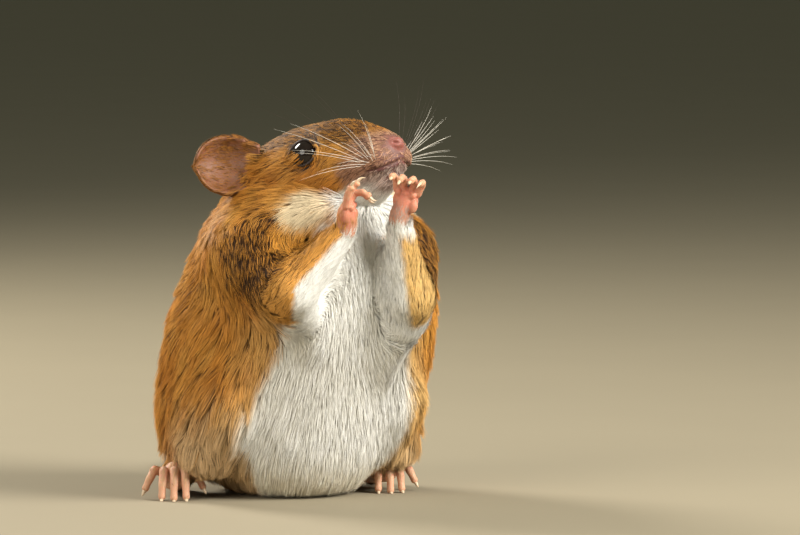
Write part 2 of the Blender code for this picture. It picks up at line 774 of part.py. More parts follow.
def as_node(thing, name, material):
    """Hands a finished solid to the mouse, cut flat at the floor."""
    cut(thing, "DIFFERENCE", [below_floor])
    keep_largest(thing)
    thing.name = name
    thing.data.name = name
    thing.data.materials.clear()
    thing.data.materials.append(material)
    thing.data.shade_smooth()
    thing.data.set_sharp_from_angle(angle=radians(50))
    cutters.objects.unlink(thing)
    mouse.objects.link(thing)
    return thing


def build_body(looks):
    """The fused trunk, head and limbs, parted into nodes by thin cuts."""
    bulk = [trunk(), neck_core(), head_loft("back_of_head", HEAD_MM[7:])]
    limbs = [tail_root()]
    for side_name in ("left", "right"):
        bulk += [upper_arm_tube(side_name), haunch_ball(side_name)]
        limbs += [forearm_tube(side_name), shank_tube(side_name)]
    bulk = fused("bulk", bulk, BODY_VOXEL, 0.5, 60, None)
    face = [head_loft("skull", HEAD_MM), head_loft("jaw", JAW_MM)]
    pad_centre, pad_radii = WHISKER_PAD_MM
    pad_radii = [radius * MM for radius in pad_radii]
    for side in (1, -1):
        face.append(in_head(ball("pad", sided(mm(pad_centre), side), pad_radii)))
    whole = fused("whole", [bulk, *limbs, *face], BODY_VOXEL, 0.5, 10, None)

    head = copy_of(whole, "head_half")
    cut(head, "INTERSECT", [half_space("above_neck", THROAT - NECK_WAY * 1.5 * MM, NECK_WAY)])
    thin_out(head, HEAD_TRIANGLES)
    cut(head, "INTERSECT", [half_space("head_side", THROAT + NECK_WAY * GAP, NECK_WAY)])

    lower = copy_of(whole, "lower_half")
    cut(lower, "DIFFERENCE", [half_space("over_neck", THROAT + NECK_WAY * 1.5 * MM, NECK_WAY)])
    thin_out(lower, TRUNK_TRIANGLES)
    cut(lower, "DIFFERENCE", [
        half_space("neck_side", THROAT, NECK_WAY),
        half_space("tail_side", Vector((0, TAIL_ROOT_Y, 0)), Vector((0, 1, 0)))])
    keep_largest(lower)

    adds, carves = head_tools()
    cut(head, "UNION", adds)
    cut(head, "DIFFERENCE", carves)
    keep_largest(head)
    head_outside = grown(head, "head_grown", GAP)
    as_node(head, "head", looks["coat"])
    for side_name, side in (("left", 1), ("right", -1)):
        as_node(eye_ball(side), "eye_" + side_name, looks["eye"])
        as_node(cut(plug(side), "UNION", whisker_tubes(side)), "whiskers_" + side_name, looks["coat"])
        ear = ear_shell(side)
        cut(ear, "DIFFERENCE", [head_outside])
        as_node(ear, "ear_" + side_name, looks["coat"])

    neck_base = THROAT - NECK_WAY * NECK_DEPTH
    neck = copy_of(lower, "neck")
    cut(neck, "INTERSECT", [half_space("neck_top", neck_base + NECK_WAY * GAP, NECK_WAY)])
    torso = copy_of(lower, "torso")
    cut(torso, "DIFFERENCE", [half_space("neck_bottom", neck_base, NECK_WAY)])
    for side_name in ("left", "right"):
        shoulder, elbow, wrist = arm_points(side_name)
        wrist_way = (wrist - elbow).normalized()
        arm_room = forearm_tube(side_name, MARGIN + GAP, 12, 2)
        shoulder_room = upper_arm_tube(side_name, MARGIN + GAP, 12, 2)
        leg_room = leg_part(side_name, GAP)

        forearm = copy_of(lower, "forearm")
        cut(forearm, "INTERSECT", [forearm_tube(side_name, MARGIN, 12, 2)])
        cut(forearm, "DIFFERENCE", [half_space("wrist_cut", wrist - wrist_way * 0.5 * MM, wrist_way)])
        as_node(forearm, "forearm_" + side_name, looks["belly_coat"])

        upper_arm = copy_of(lower, "upper_arm")
        cut(upper_arm, "INTERSECT", [upper_arm_tube(side_name, MARGIN, 12, 2)])
        cut(upper_arm, "DIFFERENCE", [arm_room])
        as_node(upper_arm, "upper_arm_" + side_name, looks["coat"])
        cut(neck, "DIFFERENCE", [arm_room, shoulder_room])

        foot = fused("foot", hindfoot(side_name), PAW_VOXEL, 0.5, 2, PAW_TRIANGLES)
        wide_foot = grown(foot, "foot_grown", FOOT_ROOM)
        foot_room = fused("foot_room", [wide_foot], ROOM_VOXEL, 0.5, 2, ROOM_TRIANGLES)
        thigh = copy_of(lower, "thigh")
        cut(thigh, "INTERSECT", [leg_part(side_name)])
        shank = copy_of(thigh, "shank")
        level = Vector((0, 0, SHANK_TOP))
        cut(thigh, "INTERSECT", [half_space("over_shank", level + Vector((0, 0, GAP)), Vector((0, 0, 1)))])
        cut(shank, "INTERSECT", [half_space("under_thigh", level, Vector((0, 0, -1)))])
        cut(shank, "DIFFERENCE", [foot_room])
        cut(torso, "DIFFERENCE", [arm_room, shoulder_room, leg_room, foot_room])
        as_node(foot, "hindfoot_" + side_name, looks["bare_skin"])
        as_node(thigh, "thigh_" + side_name, looks["coat"])
        as_node(shank, "shank_" + side_name, looks["coat"])

        paw = fused("paw", forepaw(side_name), PAW_VOXEL, 0.5, 2, PAW_TRIANGLES)
        cut(paw, "INTERSECT", [half_space("wrist_side", wrist - wrist_way * 0.2 * MM, wrist_way)])
        keep_largest(paw)
        as_node(paw, "forepaw_" + side_name, looks["bare_skin"])
    as_node(neck, "neck", looks["coat"])
    as_node(torso, "torso", looks["coat"])


def build_tail(looks):
    """The tail on the floor in three lengths, end to end, the first starting at the rump's cut."""
    rows = smooth_rows([(*point, radius) for point, radius in zip(TAIL_MM, TAIL_RADII_MM)], 8)
    rows = [(x, y, height + FLOOR / MM, radius) for x, y, height, radius in rows]
    travelled = [0.0]
    for near, far in zip(rows, rows[1:]):
        travelled.append(travelled[-1] + (Vector(far[:3]) - Vector(near[:3])).length)
    start = next(way for way, row in zip(travelled, rows) if row[1] * MM > TAIL_ROOT_Y + GAP)
    begin = start - 1.0
    for name, share in TAIL_CUTS.items():
        end = start + (travelled[-1] - start) * share
        points, radii = [], []
        for k in range(TAIL_RINGS + 1):
            x, y, height, radius = along_rows(rows, travelled, begin + (end - begin) * k / TAIL_RINGS)
            points.append(mm((x, y, height)))
            radii.append(radius * MM)
        length = tube(name, points, radii, sides=10, steps=1, round_ends=False)
        if name == "tail_base":
            cut(length, "DIFFERENCE", [
                half_space("rump_side", Vector((0, TAIL_ROOT_Y + GAP, 0)), Vector((0, -1, 0)))])
        as_node(length, name, looks["tail_skin"])
        begin = end + GAP / MM


def along_rows(rows, travelled, way):
    """The row at a distance along a line, between the two rows nearest to it."""
    for k in range(len(rows) - 1):
        if travelled[k + 1] >= way or k == len(rows) - 2:
            share = (way - travelled[k]) / (travelled[k + 1] - travelled[k])
            return [a + (b - a) * share for a, b in zip(rows[k], rows[k + 1])]


def centre_on_origin():
    """Moves every node so that the whole stands centred over the origin."""
    corners = [vert.co for thing in mouse.objects for vert in thing.data.vertices]
    low = [min(corner[axis] for corner in corners) for axis in range(3)]
    high = [max(corner[axis] for corner in corners) for axis in range(3)]
    shift = Vector((-(low[0] + high[0]) / 2, -(low[1] + high[1]) / 2, -low[2]))
    for thing in mouse.objects:
        thing.data.transform(Matrix.Translation(shift))


remove_scene_objects()
mouse = new_collection("harvest_mouse")
cutters = new_collection("cutters")
below_floor = block("below_floor", (-0.1, -0.1, -0.05), (0.1, 0.1, FLOOR))
looks = {name: finish(name) for name in FINISHES}
build_body(looks)
build_tail(looks)
centre_on_origin()
for leftover in list(cutters.objects):
    bpy.data.objects.remove(leftover, do_unlink=True)
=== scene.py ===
"""The harvest mouse's looks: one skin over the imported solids, a coat of mesh tufts, eyes, claws and
whiskers. Shapes are worked out in millimetres in the mouse's own frame, then set on the solids."""
from math import cos, pi, radians, sin

import bmesh
import bpy
import numpy as np
from mathutils import Matrix, Vector
from mathutils.kdtree import KDTree
from numpy.linalg import norm


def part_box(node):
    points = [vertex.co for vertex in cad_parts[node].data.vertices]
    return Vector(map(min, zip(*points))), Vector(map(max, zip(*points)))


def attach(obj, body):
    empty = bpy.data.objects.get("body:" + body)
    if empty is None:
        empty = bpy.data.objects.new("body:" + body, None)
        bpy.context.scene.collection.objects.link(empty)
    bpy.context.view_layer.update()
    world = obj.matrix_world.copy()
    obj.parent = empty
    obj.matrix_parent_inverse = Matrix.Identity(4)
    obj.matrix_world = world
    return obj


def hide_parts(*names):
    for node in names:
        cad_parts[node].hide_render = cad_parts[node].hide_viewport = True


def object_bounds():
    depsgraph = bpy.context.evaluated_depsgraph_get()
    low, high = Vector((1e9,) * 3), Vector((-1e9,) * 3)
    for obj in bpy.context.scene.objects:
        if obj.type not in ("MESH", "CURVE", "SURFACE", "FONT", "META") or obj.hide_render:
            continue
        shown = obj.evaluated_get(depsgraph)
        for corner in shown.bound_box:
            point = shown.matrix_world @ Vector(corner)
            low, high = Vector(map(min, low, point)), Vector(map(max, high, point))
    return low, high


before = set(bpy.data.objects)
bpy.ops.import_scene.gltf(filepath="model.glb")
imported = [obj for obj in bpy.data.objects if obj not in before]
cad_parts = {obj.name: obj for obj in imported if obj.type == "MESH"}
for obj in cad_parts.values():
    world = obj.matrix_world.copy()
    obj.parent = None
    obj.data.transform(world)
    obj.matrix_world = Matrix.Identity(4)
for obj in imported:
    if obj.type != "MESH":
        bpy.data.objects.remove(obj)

CAD_BOX = [list(corner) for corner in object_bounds()]
MM = 0.001
RNG = np.random.default_rng(20)
SIDES = {"left": 1, "right": -1}
COLOR_LAYER = "coat_color"


def unit(vector):
    return np.asarray(vector) / norm(vector)


def units(vectors):
    return vectors / np.maximum(norm(vectors, axis=1), 1e-9)[:, None]


def square_to(vector, axis):
    """A vector's part across an axis, one long."""
    return unit(vector - axis * (vector @ axis))


# The head's place and turn, in mm, and the eyes in the head's own frame (nose at -Y)
HEAD_CENTRE = np.array((1.45, -4.15, 34.3))
HEAD_YAW = 26
HEAD_PITCH = 24
EYE_PLACE = np.array((4.0, 0.0, 1.3))
EYE_RADIUS = 1.5
EYE_AXIS = unit((0.93, -0.30, 0.20))
HEAD_TURN = np.array(Matrix.Rotation(radians(HEAD_YAW), 3, "Z")
                     @ Matrix.Rotation(-radians(HEAD_PITCH), 3, "X"))


def sided(points, side):
    """Points given for the left side, mirrored for the right one."""
    return np.asarray(points, float) * (side, 1, 1)


def from_head(points):
    return np.asarray(points, float) @ HEAD_TURN.T + HEAD_CENTRE


def in_head(points):
    return (np.asarray(points, float) - HEAD_CENTRE) @ HEAD_TURN


# The mouse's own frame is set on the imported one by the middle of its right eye
EYE_BOX = np.array([list(corner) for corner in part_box("eye_right")])
SHIFT = EYE_BOX.mean(axis=0) / MM - from_head(sided(EYE_PLACE, -1))


# Camera: the right eye stands at the photograph's pixel, ten pixels to a millimetre
IMAGE_SIZE = (800, 535)
EYE_PIXEL = (307, 155)
PIXELS_PER_MM = 10.0
VIEW_AZIMUTH = -22
VIEW_ELEVATION = 4
VIEW_DISTANCE = 620.0
SENSOR_WIDTH = 36.0


def camera_axes():
    a, e = radians(VIEW_AZIMUTH), radians(VIEW_ELEVATION)
    right = np.array((cos(a), sin(a), 0.0))
    up = np.array((-sin(a) * sin(e), cos(a) * sin(e), cos(e)))
    back = np.array((sin(a) * cos(e), -cos(a) * cos(e), sin(e)))
    return right, up, back


def to_frame(points):
    """Millimetres in the mouse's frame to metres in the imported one."""
    return (np.asarray(points, float) + SHIFT) * MM


def set_camera():
    right, up, back = camera_axes()
    eye = from_head(sided(EYE_PLACE, -1))
    across = (IMAGE_SIZE[0] / 2 - EYE_PIXEL[0]) / PIXELS_PER_MM
    down = (IMAGE_SIZE[1] / 2 - EYE_PIXEL[1]) / PIXELS_PER_MM
    aim = eye + right * across - up * down
    data = bpy.data.cameras.new("camera")
    data.sensor_width = SENSOR_WIDTH
    data.lens = SENSOR_WIDTH * VIEW_DISTANCE / (IMAGE_SIZE[0] / PIXELS_PER_MM)
    data.clip_start = 0.01
    camera = bpy.data.objects.new("camera", data)
    bpy.context.scene.collection.objects.link(camera)
    turn = Matrix((right, up, back)).transposed().to_4x4()
    camera.matrix_world = Matrix.Translation(Vector(to_frame(aim + back * VIEW_DISTANCE))) @ turn
    bpy.context.scene.camera = camera


# Studio: place in mm from the body's middle, size in mm, strength in watts, colour
LIGHTS = {
    "key": ((210, -250, 200), 200, 2.9, (1.0, 0.97, 0.91)),
    "fill": ((-300, -160, 160), 260, 1.0, (1.0, 0.95, 0.86)),
    "rim": ((-120, 260, 200), 140, 1.4, (1.0, 0.95, 0.86)),
}
WORLD_COLOR = (0.135, 0.145, 0.115, 1.0)
BODY_MIDDLE = np.array((0.0, 0.0, 19.0))


def set_lights():
    for name, (place, size, power, color) in LIGHTS.items():
        data = bpy.data.lights.new(name, "AREA")
        data.shape = "DISK"
        data.size = size * MM
        data.energy = power
        data.color = color
        lamp = bpy.data.objects.new(name, data)
        bpy.context.scene.collection.objects.link(lamp)
        stand = Vector(to_frame(BODY_MIDDLE + place))
        turn = (stand - Vector(to_frame(BODY_MIDDLE))).to_track_quat("Z", "Y").to_matrix().to_4x4()
        lamp.matrix_world = Matrix.Translation(stand) @ turn
    world = bpy.data.worlds.new("studio")
    world.use_nodes = True
    world.node_tree.nodes["Background"].inputs["Color"].default_value = WORLD_COLOR
    bpy.context.scene.world = world


def tone(red, green, blue):
    """A colour as a screen shows it, 0 to 255, as the linear one that a material takes."""
    value = np.array((red, green, blue)) / 255
    return np.where(value <= 0.04045, value / 12.92, ((value + 0.055) / 1.055) ** 2.4)


# Solids and surfaces as arrays
def mesh_of(name, points, faces):
    """A mesh from points and same-sided faces, both arrays."""
    mesh = bpy.data.meshes.new(name)
    points = np.asarray(points, np.float32)
    faces = np.asarray(faces, np.int32)
    sides = faces.shape[1]
    mesh.vertices.add(len(points))
    mesh.vertices.foreach_set("co", points.ravel())
    mesh.loops.add(faces.size)
    mesh.loops.foreach_set("vertex_index", faces.ravel())
    mesh.polygons.add(len(faces))
    mesh.polygons.foreach_set("loop_start", np.arange(0, faces.size, sides, dtype=np.int32))
    mesh.update(calc_edges=True)
    return mesh


def paint(mesh, colors):
    """Gives each point of a mesh the colour that the materials read."""
    layer = mesh.color_attributes.new(COLOR_LAYER, "FLOAT_COLOR", "POINT")
    layer.data.foreach_set("color", np.insert(colors, 3, 1, axis=1).astype(np.float32).ravel())


def placed(name, mesh, material):
    thing = bpy.data.objects.new(name, mesh)
    bpy.context.scene.collection.objects.link(thing)
    mesh.materials.append(material)
    return thing


def piece(name, mesh, material):
    """A part of the model."""
    thing = placed(name, mesh, material)
    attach(thing, "root")
    return thing


def ring(centre, across, up, half_across, half_up, sides):
    angles = np.arange(sides) * 2 * pi / sides
    return (centre + np.outer(np.cos(angles), across) * half_across
            + np.outer(np.sin(angles), up) * half_up)


def lofted(rings):
    """Points and faces of a closed solid through rings, with a flat cap on each end."""
    sides = len(rings[0])
    points = np.concatenate(rings)
    faces = []
    for row in range(len(rings) - 1):
        near, far = row * sides, (row + 1) * sides
        for k in range(sides):
            after = (k + 1) % sides
            faces.append((near + k, near + after, far + after, far + k))
    faces.append(tuple(reversed(range(sides))))
    faces.append(tuple(range(len(points) - sides, len(points))))
    return points, faces


def smooth_rows(rows, steps):
    """Rows on a Catmull-Rom curve through the given ones, with the same number in each span."""
    rows = np.asarray(rows, float)
    out = []
    last = len(rows) - 1
    for span in range(last):
        a, b = rows[max(span - 1, 0)], rows[span]
        c, d = rows[span + 1], rows[min(span + 2, last)]
        for t in np.arange(steps) / steps:
            out.append(0.5 * (2 * b + (c - a) * t + (2 * a - 5 * b + 4 * c - d) * t * t
                              + (3 * b - a - 3 * c + d) * t ** 3))
    out.append(rows[-1])
    return np.array(out)


# How far round its end a tube's closing rings stand, in degrees
CAP_TURNS = (0, 25, 50, 70, 84)


def tube(points, radii, sides=16, steps=6):
    """A solid with round ends along a smooth line, with a radius for each of the line's points."""
    rows = smooth_rows([(*point, radius) for point, radius in zip(points, radii)], steps)
    ways = np.gradient(rows[:, :3], axis=0)
    ways /= norm(ways, axis=1)[:, None]
    across = np.cross(ways[0], (0.3, 0.5, 0.81))
    rings = []
    for k, (row, way) in enumerate(zip(rows, ways)):
        across = square_to(across, way)
        up = np.cross(way, across)
        turns = CAP_TURNS if k == len(rows) - 1 else (0,)
        if k == 0:
            turns = [-turn for turn in reversed(CAP_TURNS)]
        for turn in turns:
            half = row[3] * cos(radians(turn))
            rings.append(ring(row[:3] + way * row[3] * sin(radians(turn)), across, up, half, half, sides))
    return lofted(rings)


def ball(centre, radii, axes=np.eye(3), sides=28, rows=18):
    """An ellipsoid whose radii run along the three axes given."""
    rings = []
    for k in range(1, rows):
        angle = pi * k / rows
        middle = centre - axes[2] * radii[2] * cos(angle)
        rings.append(ring(middle, axes[0], axes[1], radii[0] * sin(angle), radii[1] * sin(angle), sides))
    return lofted(rings)


def arrays_of(mesh):
    """A mesh's points and triangles."""
    mesh.calc_loop_triangles()
    points = np.empty(len(mesh.vertices) * 3, np.float32)
    mesh.vertices.foreach_get("co", points)
    triangles = np.empty(len(mesh.loop_triangles) * 3, np.int32)
    mesh.loop_triangles.foreach_get("vertices", triangles)
    return points.reshape(-1, 3).astype(float), triangles.reshape(-1, 3)


def joined(solids):
    """Solids' points and faces as one list of each."""
    faces, start = [], 0
    for points, solid_faces in solids:
        faces += [tuple(int(k) + start for k in face) for face in solid_faces]
        start += len(points)
    return np.concatenate([points for points, _ in solids]), faces


def fused(solids, voxel, passes, keep=1.0):
    """A closed skin round overlapping solids, as points and triangles, with a share of its faces."""
    points, faces = joined(solids)
    mesh = bpy.data.meshes.new("fused")
    mesh.from_pydata(points.tolist(), [], faces)
    thing = bpy.data.objects.new("fused", mesh)
    bpy.context.scene.collection.objects.link(thing)
    remesh = thing.modifiers.new("skin", "REMESH")
    remesh.mode = "VOXEL"
    remesh.voxel_size = voxel
    soften = thing.modifiers.new("soften", "SMOOTH")
    soften.factor = 0.5
    soften.iterations = passes
    if keep < 1:
        thing.modifiers.new("fewer", "DECIMATE").ratio = keep
    bpy.context.view_layer.update()
    done = bpy.data.meshes.new_from_object(thing.evaluated_get(bpy.context.evaluated_depsgraph_get()))
    out = arrays_of(done)
    bpy.data.objects.remove(thing)
    bpy.data.meshes.remove(mesh)
    bpy.data.meshes.remove(done)
    return out


def node_solid(name, grow):
    """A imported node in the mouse's frame, welded, with its surface moved outward."""
    work = bmesh.new()
    work.from_mesh(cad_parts[name].data)
    bmesh.ops.remove_doubles(work, verts=work.verts, dist=0.001 * MM)
    bmesh.ops.recalc_face_normals(work, faces=work.faces)
    work.normal_update()
    points = np.array([vert.co + vert.normal * grow * MM for vert in work.verts]) / MM - SHIFT
    faces = [tuple(vert.index for vert in face.verts) for face in work.faces]
    work.free()
    return points, faces


def normals_of(points, triangles):
    a, b, c = (points[triangles[:, k]] for k in range(3))
    face = np.cross(b - a, c - a)
    out = np.zeros_like(points)
    for k in range(3):
        for axis in range(3):
            out[:, axis] += np.bincount(triangles[:, k], face[:, axis], len(points))
    return out / np.maximum(norm(out, axis=1), 1e-12)[:, None]


def spread(values, triangles, passes, share=0.6):
    """Values on a surface's points, each drawn towards the mean of its neighbours' again and again."""
    values = np.asarray(values, float)
    flat = values.reshape(len(values), -1).copy()
    start = triangles.T.ravel()
    end = np.roll(triangles, -1, axis=1).T.ravel()
    count = np.maximum(np.bincount(start, minlength=len(flat)), 1)
    for _ in range(passes):
        for column in range(flat.shape[1]):
            mean = np.bincount(start, flat[end, column], len(flat)) / count
            flat[:, column] += (mean - flat[:, column]) * share
    return flat.reshape(values.shape)


def ramp(value, low, high):
    """0 below low, 1 above high, smooth between; low may be the larger of the two."""
    t = np.clip((value - low) / (high - low), 0, 1)
    return t * t * (3 - 2 * t)


def kd_of(points):
    tree = KDTree(len(points))
    for k, point in enumerate(points):
        tree.insert(point, k)
    tree.balance()
    return tree


def nearest(tree, points):
    return np.array([tree.find(point)[1] for point in points], np.int64)


# The body under the coat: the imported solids, closed over their seams and drawn in by the coat's depth.
# Lengths are in mm
SEAM = 0.2
BODY_VOXEL = 0.44
SINK = 0.85
# How far the solids that fill the sockets under the eyes and whiskers are grown
FILLER_GROW = 0.5
# The low flanks' coat is this much longer and deeper
FLANK_LENGTH = 0.15
FLANK_DEPTH = 0.45
# Where the body's skin ends in the snout, and how much it is squeezed along and across there
SNOUT_END = -3.5
SNOUT_ALONG = 0.15
SNOUT_ACROSS = 0.45
# How far the flanks' hair leans back from straight down, by height
LEAN_HEIGHTS = (3, 10, 18, 25)
LEANS = (0.25, 0.42, 0.75, 0.95)
ARMS = {
    "right": ((-8.0, -3.2, 25.4), (-6.4, -11.0, 21.8), (-1.1, -12.7, 28.3)),
    "left": ((7.4, -4.4, 25.2), (6.2, -11.2, 21.0), (4.5, -12.9, 29.3)),
}
KNEES = {"right": (-10.8, 1.0, 5.4), "left": (9.0, 0.6, 5.4)}
ANKLES = {"right": (-11.0, 9.2, 2.9), "left": (10.2, 8.6, 2.9)}
SHANK_RADII = (2.9, 1.75)
ARM_FOLDS = {
    "right": [(-5.4, -9.6, 20.6), (-3.6, -8.0, 18.4), (-2.6, -6.2, 15.5)],
    "left": [(6.2, -9.9, 19.6), (5.2, -8.2, 17.2), (4.2, -6.2, 14.6)],
}
FOLD_RADII = (2.9, 3.1, 2.8)
# For each node: the way its hair lies, or None for down the forearm, the coat's depth and the tufts'
# length, width and number a mm2
COATS = {
    "head": (tuple(HEAD_TURN @ (0.0, 1.0, -0.15)), 0.80, 2.4, 0.072, 84),
    "neck": ((0.05, 0.55, -0.83), 1.00, 3.0, 0.080, 64),
    "torso": ((0.00, 0.28, -0.96), 1.10, 3.6, 0.090, 54),
    "thigh_right": ((-0.05, 0.42, -0.90), 1.00, 3.2, 0.088, 56),
    "thigh_left": ((0.05, 0.42, -0.90), 1.00, 3.2, 0.088, 56),
    "shank_right": ((-0.15, -0.30, -0.92), 0.60, 2.0, 0.080, 84),
    "shank_left": ((0.05, -0.30, -0.92), 0.60, 2.0, 0.080, 84),
    "upper_arm_right": ((0.10, -0.35, -0.90), 0.85, 2.3, 0.082, 80),
    "upper_arm_left": ((-0.10, -0.35, -0.90), 0.85, 2.3, 0.082, 80),
    "forearm_right": (None, 0.50, 1.7, 0.068, 96),
    "forearm_left": (None, 0.50, 1.7, 0.068, 96),
}


def forearm(side_name):
    """The elbow, the wrist and the way from one to the other."""
    elbow, wrist = np.array(ARMS[side_name][1:])
    return elbow, wrist, unit(wrist - elbow)


def body_surface():
    """Points, triangles and the coat's numbers (lie, depth, length, width, number) over the body."""
    names = list(COATS)
    fillers = [node_solid("eye_" + side_name, SEAM + FILLER_GROW) for side_name in SIDES]
    for side in SIDES.values():
        plug, faces = ball(sided(PLUG[0], side), np.array(PLUG[1]) + FILLER_GROW)
        fillers.append((from_head(plug), faces))
    for side_name in SIDES:
        fillers.append(tube([KNEES[side_name], ANKLES[side_name]], SHANK_RADII))
        fillers.append(tube(ARM_FOLDS[side_name], FOLD_RADII, 20))
    points, triangles = fused([node_solid(name, SEAM) for name in names] + fillers, BODY_VOXEL, 5)
    solids = [node_solid(name, 0)[0] for name in names]
    owner = np.concatenate([np.full(len(solid), k) for k, solid in enumerate(solids)])
    label = owner[nearest(kd_of(np.concatenate(solids)), points)]
    lies, sizes = [], []
    for name in names:
        way, *size = COATS[name]
        lies.append(forearm(name.split("_")[-1])[2] if way is None else unit(way))
        sizes.append(size)
    lie = np.array(lies)[label]
    trunk = label == names.index("torso")
    height = points[trunk, 2]
    lean = np.interp(height, LEAN_HEIGHTS, LEANS)
    front = ramp(points[trunk, 1], 0.0, -5.0)
    aside = points[trunk, 0] / 12 * front * 0.5
    lie[trunk] = np.stack([aside, np.sin(lean) * (1 - front), -np.cos(lean)], 1)
    lie = spread(lie, triangles, 24)
    size = spread(np.array(sizes)[label], triangles, 12)
    height = points[:, 2]
    low_flank = ramp(height, 18.0, 13.0) * ramp(height, 3.0, 6.0) * ramp(np.abs(points[:, 0]), 6.0, 10.0)
    points = points - normals_of(points, triangles) * (SEAM + SINK * size[:, 0])[:, None]
    points = spread(points, triangles, 2, 0.4)
    size[:, 0] *= 1 + FLANK_DEPTH * low_flank
    size[:, 1] *= 1 + FLANK_LENGTH * low_flank
    # The muzzle is too thin for this coarser skin, which ends inside it in a small round end
    head = in_head(points)
    over = ramp(head[:, 1], -2.5, -4.5) * (label == names.index("head"))
    past = head[:, 1] - SNOUT_END
    head[:, 1] = np.where(past < 0, SNOUT_END + SNOUT_ALONG * past, head[:, 1])
    head[:, ::2] *= (1 - SNOUT_ACROSS * over)[:, None]
    snout = over > 0
    points[snout] = from_head(head[snout])
    size[:, 3] *= 1 - over
    return points, triangles, lie, size


# The face, finer than the body: along the head, centre height, half width, half height
HEAD_ROWS = [
    (-8.3, -1.4, 1.0, 0.9),
    (-7.9, -1.4, 1.75, 1.6),
    (-7.1, -1.35, 2.5, 2.35),
    (-5.9, -1.15, 3.1, 3.1),
    (-4.4, -0.8, 3.75, 3.9),
    (-2.6, -0.4, 4.3, 4.45),
    (0.0, -0.2, 5.15, 4.95),
    (3.0, 0.0, 6.0, 5.4),
    (6.0, -0.2, 6.6, 5.7),
]
JAW_ROWS = [
    (-7.1, -3.5, 0.5, 0.4),
    (-6.6, -3.6, 1.1, 0.8),
    (-5.4, -3.7, 1.7, 1.2),
    (-3.2, -3.7, 2.6, 1.8),
    (0.0, -3.3, 3.6, 2.4),
    (4.0, -3.0, 4.6, 2.9),
    (6.0, -2.8, 4.4, 2.8),
]
FACE_VOXEL = 0.105
WHISKER_PAD = ((1.5, -6.3, -1.9), (1.5, 1.7, 1.35))
PLUG = ((2.05, -6.35, -1.7), (1.35, 1.5, 1.0))
NOSE_PAD = ((0.0, -8.35, -0.95), (0.9, 0.62, 0.66))
MOUTH = [(0.0, -8.3, -2.7), (0.9, -7.9, -2.9), (1.9, -7.1, -2.95), (2.8, -5.9, -2.8), (3.6, -4.7, -2.45)]
NOSTRIL = (0.42, -8.9, -1.05)
LID_OUT = 0.78
LID_RADIUS = 1.36
LID_THICKNESS = 0.2
# Grooves in the face, by depth and half width, and the swelling of the lips beside theirs
MOUTH_GROOVE = (0.34, 0.13)
LIP_SWELLING = (0.10, 0.18)
LIP_OFF = 0.36
SPLIT = np.array([(0, -8.9, -1.5), (0, -8.25, -2.8)])
SPLIT_GROOVE = (0.22, 0.11)
NOSTRIL_WAY = (0.38, 0.28, 0.16)
NOSTRIL_GROOVE = (0.36, 0.13)
# Along the head: how deep the coat is taken to be where the skin is drawn in, and how deep it is
FACE_PLACES = (-8.2, -6.5, -3.0, 1.0, 6.0)
FACE_SINKS = (0.02, 0.12, 0.30, 0.50, 0.75)
FACE_DEPTHS = (0.10, 0.22, 0.36, 0.50, 0.75)
# Along the head: places, and the tufts' length, width and number there
FACE_LENGTHS = ((-8.0, -6.0, -3.5, 0.0, 5.0), (0.6, 1.15, 1.5, 1.9, 2.4))
FACE_WIDTHS = ((-8.0, -4.0, 2.0), (0.05, 0.058, 0.072))
FACE_NUMBERS = ((-8.2, -7.4, -6.0, -4.0, 2.0), (60, 95, 105, 120, 96))
FACE_FACES = 0.42


def head_solid(rows):
    across, _, up = np.eye(3)
    return lofted([ring(np.array((0, along, height)), across, up, width, tall, 48)
                   for along, height, width, tall in smooth_rows(rows, 5)])


def lid_ring(side):
    """A rim round the eye, drawn out to a point in front and behind."""
    axis = sided(EYE_AXIS, side)
    centre = sided(EYE_PLACE, side) + axis * LID_OUT
    front = square_to(np.array((0, -1, -0.15)), axis)
    up = np.cross(axis, front)
    angles = np.arange(49) * 2 * pi / 48
    stretch = 1 + 0.22 * np.abs(np.cos(angles)) ** 5
    rim = np.outer(np.cos(angles) * stretch, front) + np.outer(np.sin(angles) * 0.95, up)
    line = centre + rim * LID_RADIUS
    return tube(line, [LID_THICKNESS] * len(line), 10, 1)


def distance_to_line(points, line):
    """How far each point is from a line of points, joined straight."""
    out = np.full(len(points), 1e9)
    for start, end in zip(line, line[1:]):
        way = end - start
        t = np.clip((points - start) @ way / (way @ way), 0, 1)
        out = np.minimum(out, norm(points - start - np.outer(t, way), axis=1))
    return out


def groove(off, depth, width):
    """A rounded groove's depth at a distance from its middle."""
    return depth * np.exp(-(off / width) ** 2)


def off_eyes(head):
    """How far points in the head's frame are from the middle of the nearer eye."""
    return np.minimum(*(norm(head - sided(EYE_PLACE, side), axis=1) for side in SIDES.values()))


def off_nose(head):
    """How far points in the head's frame are from the nose pad's middle, as a share of its radii."""
    return norm((head - NOSE_PAD[0]) / NOSE_PAD[1], axis=1)


